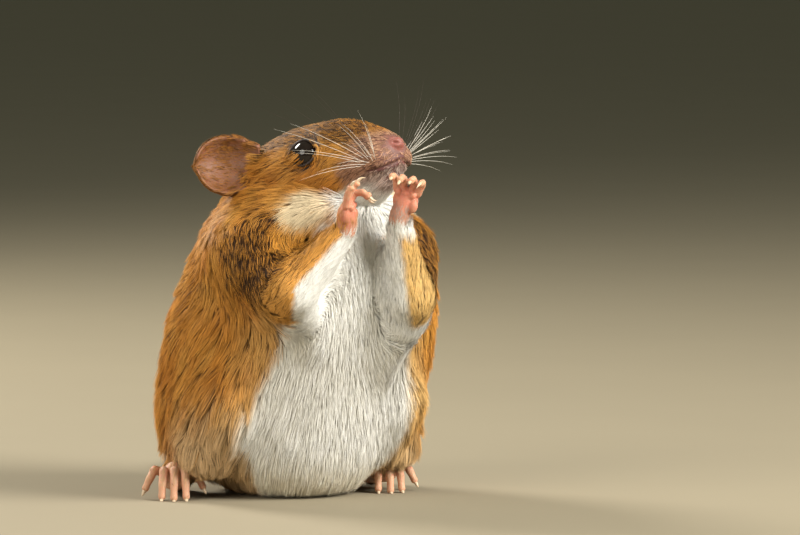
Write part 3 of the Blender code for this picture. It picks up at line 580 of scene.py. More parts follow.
def face_surface():
    """The front of the head with its lids, lips, nose and nostrils, and its coat's numbers."""
    solids = [head_solid(HEAD_ROWS), head_solid(JAW_ROWS), ball(*NOSE_PAD)]
    for side in SIDES.values():
        solids.append(ball(sided(WHISKER_PAD[0], side), WHISKER_PAD[1]))
    points, triangles = fused(solids, FACE_VOXEL, 14)
    # The coat's depth, then the lids and the nose's leather on the bare skin
    along = points[:, 1]
    depth = SINK * np.interp(along, FACE_PLACES, FACE_SINKS) + 0.6 * ramp(along, 4.5, 6.0)
    points = points - normals_of(points, triangles) * depth[:, None]
    solids = [(points, triangles.tolist()), ball(NOSE_PAD[0], np.array(NOSE_PAD[1]) * 0.93)]
    solids += [lid_ring(1), lid_ring(-1)]
    points, triangles = fused(solids, FACE_VOXEL, 3, FACE_FACES)
    normals = normals_of(points, triangles)
    # The mouth, its lips, the split of the upper lip and the nostrils
    off = distance_to_line(points, mouth_line())
    depth = groove(off, *MOUTH_GROOVE) - groove(off - LIP_OFF, *LIP_SWELLING)
    depth += groove(distance_to_line(points, SPLIT), *SPLIT_GROOVE)
    for side in SIDES.values():
        slit = np.array([sided(NOSTRIL, side), sided(NOSTRIL, side) + sided(NOSTRIL_WAY, side)])
        depth += groove(distance_to_line(points, slit), *NOSTRIL_GROOVE)
    points = points - normals * depth[:, None]
    # Inside the lids the skin drops behind the eyeball
    for side in SIDES.values():
        axis = sided(EYE_AXIS, side)
        way = points - sided(EYE_PLACE, side)
        out = way @ axis
        radius = norm(way - np.outer(out, axis), axis=1)
        socket = (radius < LID_RADIUS - 0.16) & (out > 0)
        points[socket] -= np.outer(out[socket] - 0.2, axis)
    along = points[:, 1]
    eye_off = off_eyes(points)
    length = np.interp(along, *FACE_LENGTHS)
    length *= 0.4 + 0.6 * ramp(eye_off, 1.7, 3.0)
    length *= 0.6 + 0.4 * ramp(off, 0.3, 1.2)
    width, number = np.interp(along, *FACE_WIDTHS), np.interp(along, *FACE_NUMBERS)
    number *= ramp(eye_off, 1.62, 1.85) * ramp(off, 0.12, 0.3)
    number *= ramp(off_nose(points), 1.15, 1.5) * ramp(along, 5.6, 4.8)
    lie = np.tile((0.0, 1.0, -0.12), (len(points), 1))
    for side in SIDES.values():
        # Hair streams past the eye instead of over it
        way = points - sided(EYE_PLACE, side)
        off_eye = norm(way, axis=1)
        way /= off_eye[:, None]
        against = np.minimum(np.sum(lie * way, axis=1), 0) * ramp(off_eye, 3.4, 1.9)
        lie -= way * (1.2 * against)[:, None]
    size = np.stack([np.interp(along, FACE_PLACES, FACE_DEPTHS), length, width, number], 1)
    return from_head(points), triangles, lie @ HEAD_TURN.T, size


# Ears: a rounded cup, open to the front and side, narrowing to its root
EAR_ROOT = (4.9, 5.6, 2.6)
EAR_AXIS = unit((0.66, 0.70, 0.26))
EAR_FACING = np.array((0.62, -0.76, 0.0))
EAR_LENGTH = 6.6
EAR_WIDTH = 6.0
EAR_WAIST = 0.52
EAR_ROOT_SHARE = 0.62
EAR_TIP_SHARE = 0.18
EAR_CUP = 1.5
EAR_THICKNESS = 0.26
EAR_ROWS = 30
EAR_COLUMNS = 26


def ear_surface(side):
    """An ear's points and triangles, inside first, and its coat's numbers."""
    axis = sided(EAR_AXIS, side)
    facing = square_to(sided(EAR_FACING, side), axis)
    across = np.cross(axis, facing)
    v, u = np.meshgrid(np.linspace(0, 1, EAR_ROWS + 1), np.linspace(-1, 1, EAR_COLUMNS + 1), indexing="ij")
    chord = np.maximum(np.sqrt(np.clip(1 - ((v - EAR_WAIST) / (1 - EAR_WAIST)) ** 2, 0, 1)), EAR_TIP_SHARE)
    waist = EAR_ROOT_SHARE + (1 - EAR_ROOT_SHARE) * np.sin(pi / 2 * np.clip(v / EAR_WAIST, 0, 1))
    width = EAR_WIDTH / 2 * np.where(v > EAR_WAIST, chord, waist)
    lift = EAR_LENGTH * v * (1 - 0.05 * u * u)
    hollow = EAR_CUP * (u * u - 0.7) * (0.6 + 0.4 * np.sin(pi * v))
    back = -EAR_CUP * 0.35 * np.sin(pi * v) + EAR_CUP * 0.5 * v ** 3
    # The rim turns in a little, and a low fold runs up the inside
    rim = 0.28 * ramp(np.abs(u), 0.8, 1.0) * (v > 0.2)
    fold = 0.22 * np.exp(-((u + 0.35 - 0.3 * v) / 0.16) ** 2) * ramp(v, 0.85, 0.5)
    middle = (sided(EAR_ROOT, side) + lift[..., None] * axis + (width * u)[..., None] * across
              + (hollow + back + rim + fold)[..., None] * facing)
    normal = np.cross(np.gradient(middle, axis=1), np.gradient(middle, axis=0))
    normal /= norm(normal, axis=2)[..., None]
    if np.sum(normal * facing) < 0:
        normal = -normal
    thick = EAR_THICKNESS * (1.6 - v)[..., None] / 2
    front = (middle + normal * thick).reshape(-1, 3)
    rear = (middle - normal * thick).reshape(-1, 3)
    count = len(front)
    grid = np.arange(count).reshape(v.shape)
    a, b, c, d = (part.ravel() for part in (grid[:-1, :-1], grid[:-1, 1:], grid[1:, 1:], grid[1:, :-1]))
    sheets = np.stack([a, b, c, d, a + count, d + count, c + count, b + count], 1).reshape(-1, 4)
    edge = np.concatenate([grid[::-1, 0], grid[0, 1:], grid[1:, -1], grid[-1, -2:0:-1]])
    onward = np.roll(edge, -1)
    quads = np.concatenate([sheets, np.stack([edge, edge + count, onward + count, onward], 1)])
    points = from_head(np.concatenate([front, rear]))
    triangles = np.concatenate([quads[:, [0, 1, 2]], quads[:, [0, 2, 3]]])
    centre = points.mean(axis=0)
    if np.sum(normals_of(points, triangles)[:count] @ (HEAD_TURN @ facing)) < 0:
        triangles = triangles[:, ::-1]
    lie = np.tile(HEAD_TURN @ axis, (len(points), 1))
    lie += 0.35 * (points - centre) / 3.0
    up_ear, aside = np.tile(v.ravel(), 2), np.abs(np.tile(u.ravel(), 2))
    inner = np.repeat((1.0, 0.0), count)
    size = np.stack([
        np.full(len(points), 0.16),
        1.0 - 0.2 * up_ear + 0.3 * ramp(aside, 0.8, 1.0),
        np.full(len(points), 0.045),
        (120 + 50 * ramp(aside, 0.75, 1.0)) * (1 - 0.65 * inner),
    ], 1)
    return points, triangles, lie, size


# Hands and feet: for each hand its middle, the way to its fingers and the way that its palm faces, then
# for each finger its offset, splay, length and curl; for each toe its offset, splay, length and start
PAW_VOXEL = 0.085
HAND_FACES = 0.45
FOOT_FACES = 0.3
HANDS = {
    "right": ((-1.1, -13.1, 30.1), (0.05, -0.2, 0.97), (0.80, -0.50, -0.1),
              ((-1.1, -14, 2.1, 8), (-0.4, -2, 2.4, 14), (0.42, 6, 2.6, 56), (1.1, 18, 2.3, 60))),
    "left": ((5.1, -13.2, 31.2), (0.14, -0.2, 0.95), (-0.55, -0.80, 0.1),
             ((-1.1, -16, 2.5, 46), (-0.4, -5, 2.9, 52), (0.42, 6, 2.9, 48), (1.1, 17, 2.5, 42))),
}
PALM_RADII = (1.3, 0.75, 1.4)
WRIST_RADII = (0.75, 1.0, 0.95)
# Pads under the palm: how far along and across it they lie, and their radii
PAD_OUT = 0.5
PALM_PADS = (
    (-0.8, -0.35, (0.42, 0.4, 0.55)),
    (-0.8, 0.45, (0.42, 0.4, 0.5)),
    (-0.3, 1.05, (0.42, 0.45, 0.7)),
    (0.75, -0.75, (0.33, 0.3, 0.36)),
    (0.75, 0.0, (0.33, 0.3, 0.36)),
    (0.75, 0.75, (0.33, 0.3, 0.36)),
)
FINGER_RADII = (0.40, 0.35, 0.36, 0.34, 0.35, 0.31, 0.33)
FINGER_SHARES = (0.42, 0.33, 0.25)
FINGER_BENDS = (-0.35, -1.0, -0.7)
# Along and down a claw from the tip of its digit, as shares of its length, and its radii's shares
CLAW_LINE = ((0.4, 0.02), (0.75, 0.16), (0.95, 0.42))
CLAW_SHARES = (1.0, 0.85, 0.5, 0.1)
CLAW_LENGTH = 0.85
# The floor's height, and how far above it skin, claws and hair stay
FLOOR = 0.6
SKIN_CLEAR = 0.01
CLAW_CLEAR = 0.1
HAIR_CLEAR = 0.05
# The short hair on the paws: depth, length, width and number, and numbers on the wrist and heel
PAW_COAT = (0.10, 0.75, 0.045, 16.0)
WRIST_NUMBER = 35
HEEL_NUMBER = 75
TOE_ENDS = {"right": (-14.9, -0.6, 0.8), "left": (8.3, -2.0, 0.8)}
TOES = (
    (-1.5, -26, 3.0, -1.5),
    (-1.0, -3, 4.3, -0.1),
    (0.0, 0, 4.5, 0.1),
    (1.0, 3, 4.3, -0.1),
    (1.6, 24, 3.3, -1.3),
)
TOE_SHARES = (0.34, 0.36, 0.30)
TOE_BENDS = (12, -66, -22)
TOE_RADII = (0.50, 0.44, 0.46, 0.42, 0.42, 0.36, 0.38)


def turned(way, degrees, axis):
    return np.array(Matrix.Rotation(radians(degrees), 3, Vector(axis)) @ Vector(way))


def digit(start, way, bend_axis, length, shares, bends, radii):
    """A toe or finger: its solid, its tip and the way that its tip points."""
    points = [np.array(start, float)]
    for share, bend in zip(shares, bends):
        way = turned(way, bend, bend_axis)
        for _ in range(2):
            points.append(points[-1] + way * length * share * 0.5)
    return tube(points, radii, 16, 5), points[-1], way


def claw(start, way, droop, radius):
    """A curved, pointed claw from inside a digit's tip."""
    line = [start - way * 0.12]
    line += [start + way * CLAW_LENGTH * along + droop * CLAW_LENGTH * down for along, down in CLAW_LINE]
    return tube(line, [radius * share for share in CLAW_SHARES], 12, 5)


def hand(side_name):
    """A palm with its pads, four curled fingers and a thumb stub: solids and claws."""
    centre, way, face, fingers = (np.array(value, float) for value in HANDS[side_name])
    _, wrist, arm_way = forearm(side_name)
    way = unit(way)
    face = square_to(face, way)
    across = np.cross(way, face)
    axes = np.array((across, face, way))
    solids = [tube([wrist - arm_way * 1.8, wrist, centre], WRIST_RADII, 20), ball(centre, PALM_RADII, axes)]
    for along, aside, radii in PALM_PADS:
        solids.append(ball(centre + face * PAD_OUT + way * along + across * aside, radii, axes))
    claws = []
    for offset, spread_angle, length, curl in fingers:
        start = centre + across * offset + way * 0.95
        heading = turned(way, -spread_angle, face)
        axis = unit(np.cross(face, heading))
        bends = [curl * share for share in FINGER_BENDS]
        solid, tip, last = digit(start, heading, axis, length, FINGER_SHARES, bends, FINGER_RADII)
        solids.append(solid)
        pad_way = np.cross(last, axis)
        pad_way *= np.sign(pad_way @ face) or 1.0
        solids.append(ball(tip + pad_way * 0.12, (0.3, 0.3, 0.3)))
        claws.append(claw(tip + last * 0.2, turned(last, -curl * 0.25, axis), pad_way, 0.17))
    return solids, claws


def foot(side_name):
    """A long flat foot from the heel, with five toes arched down to the floor: solids and claws."""
    side = SIDES[side_name]
    ankle = np.array(ANKLES[side_name])
    forward = unit((TOE_ENDS[side_name] - ankle) * (1, 1, 0))
    outward = np.array((-forward[1], forward[0], 0))
    outward *= side * np.sign(outward[0])
    up = np.array((0, 0, 1.0))
    heel = np.array((ankle[0], ankle[1], FLOOR)) + up * 1.1 - forward * 0.6
    instep = heel + forward * 3.4 + up * 0.6
    knuckles = heel + forward * 7.2 + up * 1.5
    solids = [
        tube([heel, instep, knuckles], (1.2, 1.15, 1.15), 20),
        ball(knuckles - up * 0.95 - forward * 0.7, (1.4, 1.2, 0.9)),
        ball(heel - up * 0.35 + forward * 0.2, (0.75, 0.75, 0.7)),
    ]
    for offset in (-0.9, 0.0, 0.9):
        solids.append(ball(knuckles - up * 0.75 + outward * offset + forward * 0.2, (0.42, 0.42, 0.4)))
    bend_axis = np.cross(forward, up)
    claws = []
    for offset, splay, length, back in TOES:
        start = knuckles + outward * offset + forward * back
        heading = turned(forward, splay * side, (0, 0, 1))
        solid, tip, last = digit(start, heading, bend_axis, length, TOE_SHARES, TOE_BENDS, TOE_RADII)
        solids.append(solid)
        end = tip + unit(last + forward * 0.5)
        end[2] = max(end[2], FLOOR + CLAW_CLEAR)
        points, faces = claw(tip + last * 0.2, unit(end - tip), -forward * 0.6, 0.2)
        points[:, 2] = np.maximum(points[:, 2], FLOOR + SKIN_CLEAR)
        claws.append((points, faces))
    return solids, claws


def paw_surface(solids, keep, way):
    """A fused paw, kept off the floor, with its short coat's numbers and its normals."""
    points, triangles = fused(solids, PAW_VOXEL, 3, keep)
    points[:, 2] = np.maximum(points[:, 2], FLOOR + SKIN_CLEAR)
    lie, size = (np.tile(row, (len(points), 1)) for row in (way, PAW_COAT))
    return (points, triangles, lie, size), normals_of(points, triangles)


def hand_surface(side_name):
    """A forepaw's skin, with hair on its back and wrist, and its claws."""
    solids, claws = hand(side_name)
    _, way, face, _ = HANDS[side_name]
    skin, normals = paw_surface(solids, HAND_FACES, way)
    points, *_, size = skin
    size[:, 3] *= ramp(-(normals @ face), 0.0, 0.6)
    size[:, 3] += WRIST_NUMBER * ramp(norm(points - forearm(side_name)[1], axis=1), 1.9, 1.1)
    return skin, claws


def foot_surface(side_name):
    """A hind foot's skin, with hair on its top and heel, and its claws."""
    solids, claws = foot(side_name)
    ankle = np.array(ANKLES[side_name])
    skin, normals = paw_surface(solids, FOOT_FACES, TOE_ENDS[side_name] - ankle)
    points, *_, size = skin
    upward = normals[:, 2]
    on_heel = ramp(norm(points - ankle, axis=1), 6.0, 3.0)
    size[:, 3] = PAW_COAT[3] * ramp(upward, 0.1, 0.7) + HEEL_NUMBER * on_heel * ramp(upward, -0.35, 0.25)
    return skin, claws


# The tail, ringed with scales
TAIL = [
    (-0.5, 10.5, 3.2),
    (-0.7, 14.5, 2.2),
    (-1.8, 20.0, 1.25),
    (-3.0, 27.0, 1.05),
    (-0.8, 34.0, 0.95),
    (5.4, 38.6, 0.85),
    (13.0, 39.2, 0.72),
    (19.6, 35.8, 0.6),
    (23.4, 30.4, 0.45),
]
TAIL_RADII = (3.4, 2.1, 1.35, 1.2, 1.08, 0.95, 0.8, 0.62, 0.35)
TAIL_RING = 0.42
RING_STEPS = 3
TAIL_SIDES = 18
# Its coat's depth, length, width and number at places along it
TAIL_PLACES = (0, 4, 9, 14, 50)
TAIL_COAT = (
    (0.7, 0.45, 0.16, 0.09, 0.09),
    (2.6, 1.9, 0.9, 0.55, 0.55),
    (0.085, 0.075, 0.05, 0.035, 0.035),
    (60, 60, 45, 28, 22),
)


def tail_surface():
    rows = smooth_rows([(*point, radius) for point, radius in zip(TAIL, TAIL_RADII)], 40)
    rows[:, 2] += FLOOR
    steps = norm(np.diff(rows[:, :3], axis=0), axis=1)
    travelled = np.concatenate([[0], np.cumsum(steps)])
    stations = np.arange(0, travelled[-1] - 0.1, TAIL_RING / RING_STEPS)
    line = np.stack([np.interp(stations, travelled, rows[:, k]) for k in range(4)], 1)
    centres, radii = line[:, :3], line[:, 3] - 0.12
    ways = np.gradient(centres, axis=0)
    ways /= norm(ways, axis=1)[:, None]
    ridge = 1 + 0.06 * np.cos(2 * pi * stations / TAIL_RING) * ramp(stations, 4.0, 8.0)
    rings = []
    for centre, way, radius, swell in zip(centres, ways, radii, ridge):
        across = unit(np.cross(way, (0, 0, 1.0)))
        up = np.cross(across, way)
        rings.append(ring(centre, across, up, radius * swell, radius * swell, TAIL_SIDES))
    rings.append(ring(centre + way * 0.5, across, up, radius * 0.4, radius * 0.4, TAIL_SIDES))
    points, faces = lofted(rings)
    points[:, 2] = np.maximum(points[:, 2], FLOOR + SKIN_CLEAR)
    triangles = np.array([(face[0], *pair) for face in faces for pair in zip(face[1:], face[2:])])
    if np.sum(normals_of(points, triangles)[:TAIL_SIDES] @ ways[0]) > 0:
        triangles = triangles[:, ::-1]
    lie = np.repeat([*ways, ways[-1]], TAIL_SIDES, axis=0)
    far = np.repeat([*stations, stations[-1]], TAIL_SIDES)
    return points, triangles, lie, np.stack([np.interp(far, TAIL_PLACES, row) for row in TAIL_COAT], 1)


# Markings
HEAD_TOP_WAYS = [row[0] for row in HEAD_ROWS]
HEAD_TOPS = [row[1] + row[3] for row in HEAD_ROWS]
RUSSET = tone(190, 118, 36)
GOLD = tone(220, 168, 84)
TAWNY = tone(172, 104, 36)
DARK = tone(60, 38, 20)
TICK = tone(222, 152, 56)
# Cream: the cheek patch's own colour, also painted low on the white belly as warm bounce light from the
# floor
CREAM_AND_BOUNCE_LIGHT = tone(232, 214, 178)
WHITE = tone(240, 238, 230)
# The arms' outer gold; the left arm's paler gold is painted light, on the side facing the key lamp
ARM_GOLDS_LEFT_LIT = {"left": tone(230, 188, 118), "right": tone(222, 158, 74)}
CROWN_BROWN = tone(92, 68, 36)
HAUNCH_GREY = tone(216, 184, 142)
# Pale gold beside the white: the coat's own colour, made stronger on the left as painted light
EDGE_GOLD_AND_LIT_SIDE = tone(222, 184, 122)
UNDERFUR = tone(112, 98, 88)
PINK = tone(198, 138, 110)
FINGER_PALE = tone(206, 156, 122)
PALM_PINK = tone(192, 108, 86)
CHEEK_GOLD = tone(224, 158, 64)
TOE_PINK = tone(206, 160, 128)
MUZZLE = tone(118, 76, 68)
MUZZLE_HAIR = tone(158, 126, 112)
LIP = tone(98, 56, 52)
NOSE = tone(142, 86, 76)
EAR_SKIN = tone(128, 82, 60)
EAR_HAIR = tone(146, 96, 46)
LID = tone(40, 26, 20)
TAIL_TOP = tone(140, 100, 66)
TAIL_UNDER = tone(196, 166, 134)
IVORY = tone(214, 190, 160)
WHISKER_PALE = tone(225, 220, 208)
WHISKER_DARK = tone(56, 46, 38)


def blotches(points, scale, seed):
    """Smooth noise from -1 to 1, a sum of waves in seeded directions."""
    draw = np.random.default_rng(seed)
    out = np.zeros(len(points))
    for _ in range(14):
        way = unit(draw.normal(size=3))
        out += np.sin(points @ way * (2 * pi / scale) * draw.uniform(0.6, 1.6) + draw.uniform(0, 2 * pi))
    return out / 5


def mix(base, color, share):
    share = np.broadcast_to(np.clip(share, 0, 1), len(base))[:, None]
    return base * (1 - share) + color * share


# The white underside's edges: angle from the chest's middle towards the mouse's right, by height
WHITE_HEIGHTS = (2.0, 6.0, 9.4, 13.5, 18.7, 22.2, 24.3, 26.1, 29.2)
WHITE_RIGHT = (58, 54, 49, 40, 31, 25, 19, 15, 9)
WHITE_LEFT = (-60, -57, -45, -45, -33, -23, -20, -18, -14)
TRUNK_MIDDLE = (0.0, 2.5)
ARM_OUTWARD = {"left": (0.93, -0.36, 0.0), "right": (-0.62, 0.42, 0.66)}
ELBOW_OUTWARD = {"left": (0.0, 0.0, 0.0), "right": (-0.55, 0.0, -0.6)}
ARM_EDGE = {"left": (-0.5, 0.4), "right": (-0.55, 0.15)}
SHOULDER_PATCH = ((-7.8, -8.4, 25.6), (5.8, 6.2, 6.4))
CHEEK_PATCH = ((-6.1, 0.2, -4.4), (3.2, 3.6, 2.2))
CHEEK_GLOW = ((-4.6, -8.8, 27.6), (3.9, 3.7, 2.6))


def mouth_line():
    return smooth_rows([(-x, y, z) for x, y, z in reversed(MOUTH[1:])] + MOUTH, 4)


def inside(points, centre, radii):
    """1 at an ellipsoid's middle, falling to 0 at its edge."""
    return ramp(norm((points - centre) / radii, axis=1), 1.0, 0.55)


def mirrored(points):
    """Points brought over to the right side, for markings that both sides have."""
    return np.concatenate([-np.abs(points[:, :1]), points[:, 1:]], 1)


def markings(points):
    """The coat's colour and how dark-ticked it is, at points in the mouse's frame."""
    wander = 3 * blotches(points, 7.0, 3)
    color = np.tile(RUSSET, (len(points), 1))
    color = mix(color, TAWNY, 0.35 + 0.25 * blotches(points, 11.0, 4))
    color = mix(color, GOLD, 0.32 + 0.2 * blotches(points, 4.0, 5))
    height = points[:, 2]
    # The lower haunches and flanks fade to the underfur's greyish brown
    low = ramp(height, 9.5, 2.5) * ramp(points[:, 1], 9.0, 2.0)
    # White underneath
    angle = np.degrees(np.arctan2(-(points[:, 0] - TRUNK_MIDDLE[0]), -(points[:, 1] - TRUNK_MIDDLE[1])))
    right = np.interp(height, WHITE_HEIGHTS, WHITE_RIGHT) + wander
    left = np.interp(height, WHITE_HEIGHTS, WHITE_LEFT) + wander
    white = ramp(angle, right + 4, right - 4) * ramp(angle, left - 4, left + 4)
    # A pale gold band beside the white is the coat's own; it is stronger on the mouse's left, painted light
    # on the side facing the key lamp
    pale_edge = ramp(angle, right + 24, right) * ramp(angle, left - 24, left) * ramp(height, 27.0, 23.0)
    color = mix(color, EDGE_GOLD_AND_LIT_SIDE, (0.5 + 0.35 * (angle < 0)) * pale_edge)
    beside_white = ramp(angle, right + 50, right + 20) * ramp(angle, 0, right)
    low = np.maximum(low, beside_white * ramp(height, 13.0, 7.0))
    color = mix(color, HAUNCH_GREY, 0.85 * low)
    head = in_head(points)
    neck_height = height - 0.12 * points[:, 1]
    is_head = ramp(neck_height, 29.8, 30.8)
    arms = np.zeros(len(points))
    for side_name in SIDES:
        elbow, wrist, along = forearm(side_name)
        near_fore = ramp(distance_to_line(points, [elbow, wrist]), 3.4, 2.7)
        lean = (points - elbow) @ square_to(np.array(ARM_OUTWARD[side_name]), along)
        at_elbow = ramp((points - elbow) @ along, 4.5, 0.0)
        lean += at_elbow * np.maximum((points - elbow) @ ELBOW_OUTWARD[side_name], 0)
        orange = ramp(lean, *ARM_EDGE[side_name])
        white = white * (1 - near_fore) + near_fore * (1 - orange)
        arms = np.maximum(arms, near_fore * orange)
        # On the left arm the paler gold is painted light from the key lamp's side
        color = mix(color, ARM_GOLDS_LEFT_LIT[side_name], 0.8 * near_fore * orange)
    white = white * (1 - is_head)
    # The chin and throat, below a line from the mouth's corner back along the cheek
    cheek_line = np.interp(head[:, 1], (-8, -4.7, 0, 6), (-2.9, -3.0, -3.6, -4.4))
    throat = ramp(head[:, 2], cheek_line + 0.35, cheek_line - 0.5) * ramp(np.abs(head[:, 0]), 5.0, 3.6)
    white = np.maximum(white, throat * ramp(neck_height, 28.2, 29.2))
    cream = inside(mirrored(head), *CHEEK_PATCH) * (1 - white)
    glow = inside(mirrored(points), *CHEEK_GLOW) * (1 - arms)
    color = mix(color, CHEEK_GOLD, 0.9 * glow)
    color = mix(color, WHITE, white)
    # Painted light: the white belly turns cream towards the floor, a painted warm bounce light from below
    color = mix(color, CREAM_AND_BOUNCE_LIGHT, 0.5 * white * ramp(height, 7.0, 2.5))
    color = mix(color, CREAM_AND_BOUNCE_LIGHT, 0.9 * cream)
    # Dark ticking on the shoulder, on the crown and faintly along the back
    shoulder_patch = inside(mirrored(points), *SHOULDER_PATCH)
    top = np.interp(head[:, 1], HEAD_TOP_WAYS, HEAD_TOPS)
    crown = (is_head * ramp(head[:, 2] - top, -3.0, -1.5)
             * ramp(head[:, 1], -7.6, -5.6) * ramp(head[:, 1], 9.0, 1.0))
    color = mix(color, CROWN_BROWN, 0.7 * crown)
    back = ramp(points[:, 1], 2.0, 10.0) * 0.3
    ticking = np.maximum.reduce([shoulder_patch, 0.85 * crown, back, np.full(len(points), 0.08)])
    ticking *= (1 - 0.7 * low) * (1 - 0.8 * glow)
    ticking = ticking * (1 - white) * (1 - 0.9 * cream) * (1 - 0.6 * arms)
    # The muzzle and lips: thin greyish hair over mauve skin
    muzzle = is_head * ramp(head[:, 1], -4.2, -6.0) * ramp(head[:, 2], 1.4, 0.2)
    lips = is_head * ramp(distance_to_line(head, mouth_line()), 2.3, 1.0)
    color = mix(color, MUZZLE_HAIR, 0.75 * np.maximum(muzzle, lips))
    white = white * (1 - lips)
    return color, ticking * (1 - 0.7 * muzzle), np.maximum(white, 0.9 * cream)


def skin_color(points, kind):
    """The colour of the skin itself, which the coat's roots share."""
    color, ticking, white = markings(points)
    shade = (0.62 + 0.28 * white)[:, None]
    color = mix(color * shade, UNDERFUR, 0.22 * (1 - 0.7 * white) + 0.15 * ticking)
    color = mix(color, DARK, 0.4 * ticking)
    blank = np.ones_like(points)
    if kind == "face":
        head = in_head(points)
        off = distance_to_line(head, mouth_line())
        bare = np.maximum(ramp(head[:, 1], -3.6, -6.0), ramp(off, 2.3, 1.0))
        color = mix(color, MUZZLE, bare * 0.9)
        color = mix(color, LIP, 0.85 * ramp(off, 1.1, 0.3))
        color = mix(color, NOSE, ramp(off_nose(head), 1.35, 1.05))
        color = mix(color, LID, ramp(off_eyes(head), 1.9, 1.72))
    if kind == "ear":
        color = mix(color, EAR_SKIN, 0.85)
    if kind == "hand":
        palm_off = np.minimum(*(norm(points - HANDS[name][0], axis=1) for name in SIDES))
        color = mix(FINGER_PALE * blank, PINK, ramp(palm_off, 3.6, 1.8))
        color = mix(color, PALM_PINK, 0.5 * ramp(palm_off, 1.9, 1.2) + 0.25 * blotches(points, 1.1, 9))
    if kind == "foot":
        color = mix(TOE_PINK * blank, PINK, 0.35 + 0.3 * blotches(points, 1.6, 9))
    if kind == "tail":
        color = mix(TAIL_UNDER * blank, TAIL_TOP, ramp(points[:, 2], FLOOR + 0.2, FLOOR + 1.7))
        # Painted shade and highlight: the skin between the ring ridges is darker, their crests a little
        # lighter
        between = (np.arange(len(points)) // TAIL_SIDES) % RING_STEPS != 0
        color *= np.where(between, 0.72, 1.05)[:, None]
    return color


# Tufts
# Clumps of tufts, as a share of the tufts
CLUMP_SHARE = 0.55 / 40
# Guard hairs: their share where the coat is deep enough, and how they differ from the rest
GUARD_SHARE = 0.02
GUARD_DEPTH = 0.35
GUARD_LENGTH = 1.25
GUARD_WIDTH = 0.7
GUARD_RISE = 1.45
# A strand's two parts as shares of its length, how deep its root is and how far its middle rises
STRAND_PARTS = (0.42, 0.58)
ROOT_DEPTH = 0.06
MIDDLE_RISE = 0.62
# How strongly a clump pulls a tuft's middle and tip
CLUMP_PULLS = {1: 0.28, 2: 0.68}
EAR_TICKING = 0.08
BANDED_SHARE = 0.95
DARK_SHARE = 0.6
# Skin is hidden this deep in another, and this far from its nearest point, on the face or elsewhere
HIDDEN_DEPTH = 0.12
HIDDEN_REACH = (6.0, 3.0)
TUFT_LIMIT = 32500


def height_over(points, skin, skin_normals):
    """How far points stand outside a skin, less than 0 inside it, and how far off its nearest point is."""
    near = nearest(kd_of(skin), points)
    way = points - skin[near]
    return np.sum(way * skin_normals[near], axis=1), norm(way, axis=1)


def sunk_under(body, face):
    """The body's skin drawn in where it lies at or just under the face's own, finer one."""
    points, triangles, lie, size = body
    front = np.flatnonzero(in_head(points)[:, 1] < 5.5)
    height, off = height_over(points[front], face[0], normals_of(face[0], face[1]))
    along = in_head(points[front])[:, 1]
    depth = 0.8 * ramp(height, 0.6, 0.1) * (off < 3.0) * ramp(along, 5.0, 3.2) * ramp(along, -3.2, -2.2)
    sunk = points.copy()
    sunk[front] -= normals_of(points, triangles)[front] * depth[:, None]
    return sunk, triangles, lie, size


class Surface:
    """The skin that tufts stand on, from each part's points, triangles, lie and size."""

    def __init__(self, parts):
        self.names = list(parts)
        points, triangles, lies, sizes = zip(*parts.values())
        counts = [len(part) for part in points]
        starts = np.cumsum([0] + counts[:-1])
        self.points, self.size, lie = (np.concatenate(field) for field in (points, sizes, lies))
        self.triangles = np.concatenate([part + start for part, start in zip(triangles, starts)])
        self.part = np.repeat(np.arange(len(counts)), counts)
        kinds = [name.split("_")[0] for name in self.names]
        self.color = np.concatenate([skin_color(*part) for part in zip(points, kinds)])
        self.normals = normals_of(self.points, self.triangles)
        lie = lie - self.normals * np.sum(lie * self.normals, axis=1)[:, None]
        self.lie = lie / np.maximum(norm(lie, axis=1), 1e-6)[:, None]
        self.tree = kd_of(self.points)
        self.bare_inside()

    def bare_inside(self):
        """No hair grows where the body's skin lies in another part, or another part's in the body's."""
        body, on_face = (self.part == self.names.index(name) for name in ("body", "face"))
        muzzle = on_face & (in_head(self.points)[:, 1] < SNOUT_END)
        reach = np.where(on_face, *HIDDEN_REACH)
        for hidden, cover in ((body, ~body), (~body, body)):
            height, off = height_over(self.points[hidden], self.points[cover], self.normals[cover])
            self.size[hidden, 3] *= ~((height < -HIDDEN_DEPTH) & (off < reach[hidden]) & ~muzzle[hidden])

    def at(self, field, picks, weights):
        return np.einsum("nk,nkc->nc", weights, getattr(self, field)[self.triangles[picks]])

    def scatter(self, share):
        """Random places by area and number, as triangles and weights, and what the skin is like there."""
        corners = self.points[self.triangles]
        area = norm(np.cross(corners[:, 1] - corners[:, 0], corners[:, 2] - corners[:, 0]), axis=1) / 2
        total = np.cumsum(self.size[self.triangles, 3].mean(axis=1) * area * share)
        picks = np.searchsorted(total, RNG.uniform(0, total[-1], int(total[-1])))
        places = picks, RNG.dirichlet((1, 1, 1), len(picks))
        normals, lies = (units(self.at(field, *places)) for field in ("normals", "lie"))
        return places, self.at("points", *places), normals, lies, self.at("size", *places).T

    def step(self, points, lies, length):
        """Points moved along the lie and set back on the surface, with its normal and lie there."""
        moved = points + lies * length[:, None]
        near = nearest(self.tree, moved)
        normal = self.normals[near]
        off = np.sum((moved - self.points[near]) * normal, axis=1)
        return moved - normal * off[:, None], normal, self.lie[near]


